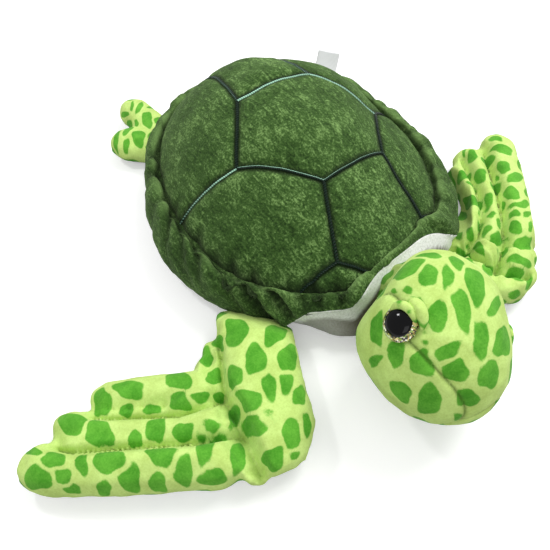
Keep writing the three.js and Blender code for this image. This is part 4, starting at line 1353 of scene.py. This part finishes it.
            # The seam curves, so the piece is bent straight for the cut and bent back
            for way in (1, -1):
                points = places(piece)
                move_to(piece, points + way * np.outer(self.lining_dip(points), (0, 1, 0)))
                if way > 0:
                    cut(piece, seam, facing)
        join_into(belly, [lining])
        for piece in (rim, belly):
            move_to(piece, VIEW.drawn(places(piece), SHELL_PULLS))
        points = places(belly)
        low = bell(points[:, 2], 22 * MM, 4)[:, None]
        move_to(belly, points * (1 - low) + VIEW.drawn(points, BELLY_PULLS) * low)
        self.paint_hollow_shade(belly)
        self.finish(rim, Slot.DARK_PLUSH, "rim_band", "body_stuffing")
        self.finish(belly, Slot.WHITE_PLUSH, "belly_cover")
        self.make_embroidery()
        self.make_label()


# ---------------------------------------------------------------- flippers


@dataclass
class Flipper:
    """A stuffed flipper of printed fabric over a white underside."""

    wardrobe: Wardrobe
    name: str
    parts: Sequence[str]
    hinge: str | None = None
    seam_height: float = 6 * MM
    voxel: float = 2.8 * MM
    cap: float = 4 * MM
    finger_radius: float = 10 * MM
    crease_height: float = 24 * MM
    crease_reach: float = 9 * MM
    bend_before: float = 12 * MM
    bend_after: float = 14 * MM
    print_seed: int = 5
    spots: Sequence[tuple[float, float, float, float, float]] = ()
    channels: Sequence[Sequence[tuple[float, float]]] = ()
    crease: Sequence[tuple[float, float]] = ()
    fills: Sequence[tuple[float, float, float]] = ()
    pulls: Sequence[tuple[float, float, float, float]] = ()

    def nodes(self, *kinds: str) -> list[str]:
        """The names of the flipper's frame nodes of these kinds."""
        return [f"{part}_{kind}" for kind in kinds for part in self.parts]

    def skin(self) -> bpy.types.Object:
        """One closed skin round the flipper, rounded and then swollen as stuffed cloth."""
        whole = joined_copy(f"{self.name}_skin", [
            f"{part}_{kind}" for part in self.parts for kind in ("top_cover", "under_cover", "stuffing")])
        if self.crease:
            self.fill_crease(whole)
        skin = voxel_remesh(whole, self.voxel)
        apply_modifier(skin, "SMOOTH", factor=0.6, iterations=7)
        inflate(skin, self.cap)
        apply_modifier(skin, "SMOOTH", factor=0.5, iterations=2)
        apply_modifier(skin, "SUBSURF", levels=1, render_levels=1)
        move_to(skin, VIEW.drawn(places(skin), self.pulls))
        return skin

    def fill_crease(self, whole: bpy.types.Object) -> None:
        """Joins a roll of filling into the notch that the solids leave for the fold."""
        path = VIEW.met(sight_tree(whole), self.crease)
        middle, run = (path[3] + path[-4]) / 2, path[-4] - path[3]
        rolls = [add_ball(
            "crease_roll", 32, 16, location=(middle[0], middle[1], self.crease_height / 2),
            scale=(float(np.linalg.norm(run[:2]) / 2), self.crease_reach, self.crease_height / 2),
            rotation=(0, 0, math.atan2(run[1], run[0])))]
        for across, down, reach in self.fills:
            rolls.append(add_ball("crease_pad", 24, 16, reach, location=VIEW.at_height(across, down, reach)))
        join_into(whole, rolls)

    def draw_in(self, skin: bpy.types.Object) -> None:
        """Draws the top in along the channels between the fingers and along the crease, with puckers."""
        tree = sight_tree(skin)
        points = places(skin)
        flat = points * (1, 1, 0)
        above = np.maximum(points[:, 2] - self.seam_height, 0)
        keep, lift = np.ones(len(points)), np.zeros(len(points))
        for line in self.channels:
            path = VIEW.met(tree, line) * (1, 1, 0)
            share = np.clip(line_distance(flat, path) / self.finger_radius, 0, 1)
            keep *= 0.3 + 0.7 * np.sqrt(1 - (1 - share) ** 2)
            off = flat - path[0]
            apart = np.linalg.norm(off, axis=1) / MM
            turn = np.arctan2(off[:, 1], off[:, 0])
            lift += 1.5 * MM * np.sin(8 * turn + 1.0) * bell(apart - 7, 6)
            keep *= 1 - 0.35 * bell(apart, 4.5)
        if self.crease:
            path = VIEW.met(tree, self.crease) * (1, 1, 0)
            apart = line_distance(flat, path) / MM
            keep *= 1 - 0.42 * bell(apart, 2.8) - 0.14 * bell(apart, 9)
            run = (flat - path[0]) @ (path[-1] - path[0]) / np.linalg.norm(path[-1] - path[0]) / MM
            folds = np.sin(run / 1.9 + 1.7 * np.sin(run / 7)) + 0.6 * np.sin(run / 3.3 + 2)
            lift += 1.1 * MM * folds * bell(apart, 8)
        points[:, 2] += above * (keep - 1) + lift * np.clip(above / (5 * MM), 0, 1)
        move_to(skin, points)

    def wrinkle(self, skin: bpy.types.Object) -> None:
        """Adds the soft dents of loose filling and the seam's pinch."""
        points, facing = places(skin), normals(skin)
        move = 0.7 * MM * waves(points, 17 * MM, 4.4) + 0.3 * MM * waves(points, 7 * MM, 8.1)
        move -= 0.9 * MM * bell(points[:, 2] - self.seam_height, 1.8 * MM)
        points = points + facing * move[:, None]
        points[:, 2] = np.maximum(points[:, 2], 0.0)
        move_to(skin, points)

    def build(self) -> None:
        """Builds the printed top and the white underside, and joins them to the body where the flipper has no
        crease.
        """
        skin = self.skin()
        self.wrinkle(skin)
        self.draw_in(skin)
        under = plain_copy(skin, f"{self.name}_white_underside")
        skin.name = skin.data.name = f"{self.name}_printed_top"
        cut(skin, (0, 0, self.seam_height + 0.1 * MM), (0, 0, 1))
        cut(under, (0, 0, self.seam_height - 0.1 * MM), (0, 0, -1))
        own = self.nodes("top_cover", "under_cover", "stuffing")
        SpotPrint(self.spots, own, seed=self.print_seed).apply(skin)
        for piece, slot, kinds in (
            (skin, Slot.SPOTTED_PLUSH, ("top_cover", "stuffing")),
            (under, Slot.WHITE_PLUSH, ("under_cover",)),
        ):
            self.wardrobe.dress(piece, slot)
            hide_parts(*self.nodes(*kinds))
            self.join_bodies(piece)

    def join_bodies(self, piece: bpy.types.Object) -> None:
        """Joins the piece to its one body; for a flipper with a crease, only bakes its place into its points.
        """
        if not self.hinge:
            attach(piece, self.parts[0])
            return
        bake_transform(piece)


# ---------------------------------------------------------------- neck, head and eyes


@dataclass
class Neck:
    """The printed fabric between the body and the head."""

    wardrobe: Wardrobe
    middle: tuple[float, float, float] = (-10 * MM, -151 * MM, 36 * MM)
    radius: float = 26 * MM

    def build(self) -> None:
        """Builds the neck as a stuffed ball with gathered folds."""
        neck = add_ball("neck_printed_plush", 96, 48, self.radius, location=self.middle)
        points, facing = places(neck), normals(neck)
        angle = np.arctan2(points[:, 2] - self.middle[2], points[:, 0] - self.middle[0])
        folds = 0.7 * MM * np.sin(9 * angle) + 0.6 * MM * waves(points, 12 * MM, 6.6)
        move_to(neck, points + facing * (folds - 2.2 * MM)[:, None])
        # Painted shade: the whole neck, which lies under the head, is darkened halfway to the root colour
        set_values(neck, "seam", np.full(len(points), 0.5))
        SpotPrint(seed=9).apply(neck)
        self.wardrobe.dress(neck, Slot.SPOTTED_PLUSH)
        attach(neck, "neck")
        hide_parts("neck_cover", "neck_stuffing")


@dataclass
class Head:
    """The egg-shaped stuffed head with its crown gusset, glitter eyes and padded eyelids."""

    wardrobe: Wardrobe
    middle: tuple[float, float, float] = (-32 * MM, -189 * MM, 54 * MM)
    radii: tuple[float, float, float] = (47 * MM, 56 * MM, 49 * MM)
    turn: float = math.radians(-30)
    pitch: float = math.radians(10)
    roll: float = math.radians(38)
    gusset_half: float = 44 * MM
    eye_raise: float = math.radians(20.5)
    eye_back: float = math.radians(83.5)
    eye_radius: float = 10 * MM
    voxel: float = 2.5 * MM
    nape_round: float = 3 * MM
    nape_line: tuple[tuple[float, float], tuple[float, float]] = ((366.5, 304.6), (398, 261))
    # Each roll: where it starts and how far it sweeps, then its reach, thickness and height in millimetres
    lid_rolls: tuple[tuple[float, ...], ...] = ((-34, 108, 13.8, 3.6, 3.0), (-28, 150, 9.7, 2.5, 6.0))
    hidden_lid_share: float = 0.35
    body: str = "head"

    def __post_init__(self) -> None:
        """Works out where the head lies."""
        turned = Matrix.Rotation(self.turn, 4, "Z") @ Matrix.Rotation(self.pitch, 4, "X")
        self.matrix = Matrix.Translation(self.middle) @ turned @ Matrix.Rotation(self.roll, 4, "Y")

    def local(self, points: np.ndarray) -> np.ndarray:
        """World places seen from the head's own middle and axes."""
        inward = np.array(self.matrix.inverted())
        return points @ inward[:3, :3].T + inward[:3, 3]

    def world(self, points: np.ndarray) -> np.ndarray:
        """The head's own places put back in the world."""
        out = np.array(self.matrix)
        return points @ out[:3, :3].T + out[:3, 3]

    def seam_lines(self) -> np.ndarray:
        """Closely set places along the gusset's two seams and the seam under the chin.

        Returns:
            Rows of places on the egg, in the head's own axes.
        """
        a, b, c = self.radii
        wide, nape = self.gusset_half, 0.9 * self.gusset_half
        rear = ((nape, b), (wide, 0.33 * b), (wide, -0.2 * b))
        front = ((wide, -0.2 * b), (0.75 * wide, -0.75 * b), (0, -b))
        t = np.linspace(0, 1, 160)[:, None]
        flat = []
        for start, bend, end in (rear, front):
            start, bend, end = np.array(start), np.array(bend), np.array(end)
            flat.append((1 - t) ** 2 * start + 2 * t * (1 - t) * bend + t**2 * end)
        side = np.vstack(flat)
        left = 1 - (side[:, 0] / a) ** 2 - (side[:, 1] / b) ** 2
        side = side[left > 0]
        top = np.column_stack([side, c * np.sqrt(left[left > 0])])
        mirror = top * (-1, 1, 1)
        turn = np.linspace(0, math.pi, 300)
        chin = np.column_stack([0 * turn, -b * np.cos(turn), -c * np.sin(turn)])
        return np.vstack([top, mirror, chin])

    def eye_matrix(self, side: int) -> Matrix:
        """Where an eye sits on the egg, with its own Z axis pointing outward.

        Args:
            side: -1 for the right eye, 1 for the left.

        Returns:
            The eye's place in the world.
        """
        lift = math.sin(self.eye_raise) * math.sin(self.eye_back)
        across = math.cos(self.eye_raise) * math.sin(self.eye_back)
        direction = Vector((side * across, -math.cos(self.eye_back), lift))
        reach = 1 / Vector([d / r for d, r in zip(direction, self.radii)]).length
        place = direction * reach
        normal = Vector([p / r / r for p, r in zip(place, self.radii)]).normalized()
        spin = Vector((0, 0, 1)).rotation_difference(normal).to_matrix().to_4x4()
        return self.matrix @ Matrix.Translation(place) @ spin

    def make_cover(self) -> bpy.types.Object:
        """The stuffed head: one skin on the egg, drawn in along its seams and round the eyes."""
        nodes = ["head_gusset", "head_right_panel", "head_left_panel", "head_stuffing"]
        whole = joined_copy("head_skin", nodes)
        # Filling closes the pockets that the solids leave for the washers
        for side in (-1, 1):
            pocket = self.eye_matrix(side) @ Vector((0, 0, -7 * MM))
            join_into(whole, [add_ball("pocket", 24, 16, 9.6 * MM, location=pocket)])
        head = voxel_remesh(whole, self.voxel)
        apply_modifier(head, "SMOOTH", factor=0.5, iterations=4)
        apply_modifier(head, "SUBSURF", levels=1, render_levels=1)
        own = self.local(places(head))
        size = np.linalg.norm(own / np.array(self.radii), axis=1)
        # Where the solid was cut clear of the neck and the shell, the skin keeps that cut
        snap = np.clip((size - 0.9) / 0.05, 0, 1)
        own = own * (1 + snap * (1 / size - 1))[:, None]
        facing = own / np.array(self.radii) ** 2
        facing /= np.linalg.norm(facing, axis=1, keepdims=True)
        seam = line_distance(own, self.seam_lines())
        move = -1.5 * MM * bell(seam, 1.5 * MM) - 0.9 * MM * bell(seam, 5 * MM)
        puckers = np.sin(own[:, 1] / (1.5 * MM)) * bell(seam, 4.5 * MM)
        move += 0.35 * MM * puckers + 0.6 * MM * waves(own, 22 * MM, 2.9) + 0.3 * MM * waves(own, 8 * MM, 6.3)
        for side in (-1, 1):
            eye = np.array(self.matrix.inverted() @ self.eye_matrix(side).translation)
            apart = np.linalg.norm(own - eye, axis=1)
            move -= 2.2 * MM * bell(apart, 10 * MM, 4)
        shaped = self.world(own + facing * (move * snap)[:, None])
        # The back of the head lies flat against the lining
        start, end = (VIEW.sight(*pixel) for pixel in self.nape_line)
        behind = np.array(end.cross(start).normalized())
        beyond = (shaped - np.array(VIEW.place)) @ behind / self.nape_round
        shaped -= behind * (self.nape_round * np.logaddexp(0, beyond))[:, None]
        move_to(head, VIEW.drawn(shaped, HEAD_PULLS))
        head.name = head.data.name = "head_printed_plush"
        set_values(head, "seam", 0.75 * bell(seam, 0.9 * MM) * snap)
        SpotPrint(HEAD_SPOTS, [*nodes, "neck_cover", "neck_stuffing"], seed=21).apply(head)
        self.wardrobe.dress(head, Slot.SPOTTED_PLUSH)
        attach(head, self.body)
        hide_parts(*nodes)
        return head

    def turned_piece(
        self, name: str, profile: Sequence[tuple[float, float]], matrix: Matrix,
    ) -> bpy.types.Object:
        """Spins a closed profile round the eye's axis.

        Args:
            name: the piece's name.
            profile: radius and height of each corner, in millimetres.
            matrix: the eye's place.

        Returns:
            The piece, in the world.
        """
        sides = 64
        turns = [2 * math.pi * i / sides for i in range(sides)]
        points = [(r * MM * math.cos(a), r * MM * math.sin(a), h * MM) for r, h in profile for a in turns]
        faces = []
        for k in range(len(profile) - 1):
            for i in range(sides):
                j = (i + 1) % sides
                faces.append((k * sides + i, k * sides + j, (k + 1) * sides + j, (k + 1) * sides + i))
        piece = new_mesh(name, points, faces)
        with editing(piece):
            bpy.ops.mesh.remove_doubles(threshold=SAME_PLACE)
        face_outward(piece)
        piece.data.transform(matrix)
        return piece

    def make_eye(self, side: int) -> None:
        """One glitter eye: the foil ring, the black dome on its ribbed shank, and the washer behind.

        Args:
            side: -1 for the right eye, 1 for the left.
        """
        name = "right" if side < 0 else "left"
        matrix = self.eye_matrix(side)
        rim = self.eye_radius / MM + 0.8
        ring_profile = [
            (2.9, -0.6), (rim - 0.6, -0.6), (rim, 0.1), (rim, 1.0), (rim - 0.5, 1.9), (rim - 1.4, 2.8),
            (rim - 2.1, 3.4), (rim - 2.7, 3.6), (2.9, 3.6), (2.9, -0.6),
        ]
        ring = self.turned_piece(f"{name}_glitter_ring", ring_profile, matrix)
        pupil = rim - 2.5
        crown = [(pupil * math.cos(a), 3.3 + 3.1 * math.sin(a)) for a in np.linspace(0, math.pi / 2, 12)]
        shank = [
            (0.0, -12.0), (2.1, -12.0), (2.5, -10.6), (2.5, -9.0), (2.1, -7.4), (2.5, -5.6), (2.5, -4.0),
            (2.1, -2.0), (2.1, 3.3),
        ]
        dome = self.turned_piece(f"{name}_black_pupil", [*shank, *crown[:-1], (0.0, 6.4)], matrix)
        for piece, slot, node in ((ring, Slot.GLITTER, "iris_ring"), (dome, Slot.BLACK, "eye_dome")):
            self.wardrobe.dress(piece, slot)
            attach(piece, self.body)
            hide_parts(f"{name}_{node}")
        self.wardrobe.redress(f"{name}_eye_washer", Slot.NYLON)

    def make_eyelid(self, side: int) -> None:
        """The padded lid: a full outer roll over the eye's top and front, and a thin fold inside it.

        Args:
            side: -1 for the right eye, 1 for the left.
        """
        name = "right" if side < 0 else "left"
        rolls = []
        for start, sweep, reach, thick, lift in self.lid_rolls:
            deselect_all()
            bpy.ops.mesh.primitive_torus_add(
                major_segments=96, minor_segments=28, major_radius=1, minor_radius=0.25)
            lid = new_primitive(f"{name}_padded_eyelid")
            ring = places(lid)
            share = (np.arctan2(ring[:, 1], ring[:, 0]) % (2 * math.pi)) / (2 * math.pi)
            minor = np.arctan2(ring[:, 2], np.hypot(ring[:, 0], ring[:, 1]) - 1)
            # The ring is opened at its start and its ends are drawn to points
            angle = math.radians(start) + math.radians(sweep) * share
            full = np.sin(math.pi * np.clip(share, 0.0, 1.0)) ** 0.65
            # The left lid lies flatter, so that it doesn't break the head's outline
            full = full * (1 if side < 0 else self.hidden_lid_share)
            tube = (thick * full + 0.15) * MM
            outward = (reach - 1.4 * (1 - full)) * MM + tube * np.cos(minor)
            height = (lift * full - 0.5) * MM + tube * np.sin(minor)
            own = np.column_stack([-side * outward * np.cos(angle), outward * np.sin(angle), height])
            own[:, 2] += 0.4 * MM * waves(own, 5 * MM, 3.3)
            placed = np.array(self.eye_matrix(side))
            move_to(lid, own @ placed[:3, :3].T + placed[:3, 3])
            rolls.append(lid)
        join_into(rolls[0], rolls[1:])
        lid = new_primitive(f"{name}_padded_eyelid")
        face_outward(lid)
        apply_modifier(lid, "SUBSURF", levels=1, render_levels=1)
        own_nodes = [f"{name}_{part}" for part in ("eyelid", "iris_ring", "eye_dome")]
        SpotPrint(LID_SPOTS if side < 0 else (), own_nodes, 31, 2.5 * MM, 4.5 * MM, 2 * MM).apply(lid)
        self.wardrobe.dress(lid, Slot.SPOTTED_PLUSH)
        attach(lid, self.body)
        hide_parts(f"{name}_eyelid")

    def build(self) -> None:
        """Builds the head and both eyes."""
        self.make_cover()
        for side in (-1, 1):
            self.make_eye(side)
            self.make_eyelid(side)


# ---------------------------------------------------------------- studio


class Studio:
    """The pale floor, the soft light and the camera at the photograph's angle."""

    def make_floor(self) -> None:
        """A pale floor that shows white with the object's soft shadow on it."""
        deselect_all()
        bpy.ops.mesh.primitive_plane_add(size=6, location=(0, 0, -0.0004))
        floor = new_primitive("floor")
        material = bpy.data.materials.new("pale_floor")
        material.use_nodes = True
        tree = material.node_tree
        tree.nodes.clear()
        matt = add_node(tree, "ShaderNodeBsdfDiffuse", {"Color": linear("#f4f4f4")})
        glow = add_node(tree, "ShaderNodeEmission", {"Color": (1, 1, 1, 1), "Strength": 0.3})
        both = add_node(tree, "ShaderNodeAddShader", {0: matt.outputs[0], 1: glow.outputs[0]})
        path = add_node(tree, "ShaderNodeLightPath")
        seen = add_node(tree, "ShaderNodeMath", {
            0: path.outputs["Is Camera Ray"], 1: path.outputs["Is Glossy Ray"]}, operation="MAXIMUM")
        under = add_node(tree, "ShaderNodeBsdfDiffuse", {"Color": linear("#8c8c8c")})
        mix = add_node(tree, "ShaderNodeMixShader", {
            0: seen.outputs[0], 1: under.outputs[0], 2: both.outputs[0]})
        # Far from the turtle the lamps fade and the floor is simply white
        place = add_node(tree, "ShaderNodeTexCoord")
        far = add_node(tree, "ShaderNodeVectorMath", {0: place.outputs["Object"]}, operation="LENGTH")
        reach = {"Value": far.outputs["Value"], "From Min": 0.45, "From Max": 1.1}
        fade = add_node(tree, "ShaderNodeMapRange", reach, interpolation_type="SMOOTHSTEP")
        white = add_node(tree, "ShaderNodeEmission", {"Color": (1, 1, 1, 1), "Strength": 1.0})
        faded = add_node(tree, "ShaderNodeMath", {
            0: fade.outputs[0], 1: seen.outputs[0]}, operation="MULTIPLY")
        spread = add_node(tree, "ShaderNodeMixShader", {
            0: faded.outputs[0], 1: mix.outputs[0], 2: white.outputs[0]})
        add_node(tree, "ShaderNodeOutputMaterial", {"Surface": spread.outputs[0]})
        floor.data.materials.append(material)

    def make_light(self) -> None:
        """Soft light from all round, a broad lamp over the turtle's left side, a weak fill and a window."""
        world = bpy.data.worlds.new("studio")
        bpy.context.scene.world = world
        world.use_nodes = True
        tree = world.node_tree
        tree.nodes.clear()
        path = add_node(tree, "ShaderNodeLightPath")
        soft = add_node(tree, "ShaderNodeBackground", {"Color": (1, 1, 1, 1), "Strength": 0.6})
        white = add_node(tree, "ShaderNodeBackground", {"Color": (1, 1, 1, 1), "Strength": 1.0})
        mix = add_node(tree, "ShaderNodeMixShader", {
            0: path.outputs["Is Camera Ray"], 1: soft.outputs[0], 2: white.outputs[0]})
        add_node(tree, "ShaderNodeOutputWorld", {"Surface": mix.outputs[0]})
        for name, place, size, power in (
            ("key", (0.75, -0.1, 1.0), 0.7, 12.0),
            ("fill", (-0.8, -0.9, 0.9), 0.9, 4.0),
            # A small window, where the right eye's dome mirrors it near its top
            ("window", (-0.261, 0.279, 0.583), 0.085, 0.9),
        ):
            data = bpy.data.lights.new(name, "AREA")
            data.size, data.energy = size, power
            lamp = bpy.data.objects.new(name, data)
            lamp.location = place
            aim = Vector((-0.02, -0.1, 0.05)) - Vector(place)
            lamp.rotation_euler = aim.to_track_quat("-Z", "Y").to_euler()
            bpy.context.scene.collection.objects.link(lamp)

    def make_camera(self) -> None:
        """The camera that the photograph's view was fitted with."""
        data = bpy.data.cameras.new("camera")
        data.sensor_fit = "HORIZONTAL"
        data.angle = VIEW.angle
        data.clip_start = 0.01
        camera = bpy.data.objects.new("camera", data)
        bpy.context.scene.collection.objects.link(camera)
        turned = Matrix((VIEW.right, VIEW.up, VIEW.back)).transposed().to_4x4()
        camera.matrix_world = Matrix.Translation(VIEW.place) @ turned
        bpy.context.scene.camera = camera

    def build(self) -> None:
        """Builds the studio."""
        self.make_floor()
        self.make_light()
        self.make_camera()
        bpy.context.scene.view_settings.view_transform = "Standard"


def main() -> None:
    """Builds the turtle piece by piece."""
    logging.basicConfig(level=logging.INFO, format="%(name)s %(message)s")
    wardrobe = Wardrobe()
    Studio().build()
    Shell(wardrobe).build()
    Flipper(
        wardrobe, "right_front_flipper", ["right_arm", "right_hand"], "right_hand_fold", print_seed=5,
        spots=RIGHT_FLIPPER_SPOTS, crease=((218, 342), (223, 395), (240, 426), (263, 479)),
        fills=((206, 366, 9 * MM), (216, 350, 9 * MM)), pulls=RIGHT_FLIPPER_PULLS,
        channels=(((218, 396), (174.7, 411.6), (90.5, 414.7)),
                  ((238, 431), (189.5, 439), (69.5, 447.4), (52.6, 445))),
    ).build()
    Flipper(
        wardrobe, "left_front_flipper", ["left_arm", "left_hand"], "left_hand_fold", print_seed=8,
        spots=LEFT_FLIPPER_SPOTS, crease_height=15 * MM,
        fills=((464, 172, 6 * MM), (469, 187, 7 * MM), (472, 202, 7 * MM), (518, 245, 10 * MM),
               (517, 261, 12 * MM), (516, 277, 12 * MM), (506, 288, 12 * MM)),
        pulls=LEFT_FLIPPER_PULLS,
        crease=((455, 248), (468, 247), (488, 256), (500, 267), (529, 271)),
        channels=(((500, 259), (506, 238), (505, 212), (499, 185), (486, 148)),
                  ((468, 244), (481, 228), (484, 205), (477, 180), (463, 156))),
    ).build()
    Flipper(wardrobe, "right_rear_flipper_soft", ["right_rear_flipper"], print_seed=3,
            spots=REAR_FLIPPER_SPOTS, pulls=REAR_FLIPPER_PULLS).build()
    Flipper(wardrobe, "left_rear_flipper_soft", ["left_rear_flipper"], print_seed=4).build()
    Neck(wardrobe).build()
    Head(wardrobe).build()


if __name__ == "__main__":
    main()
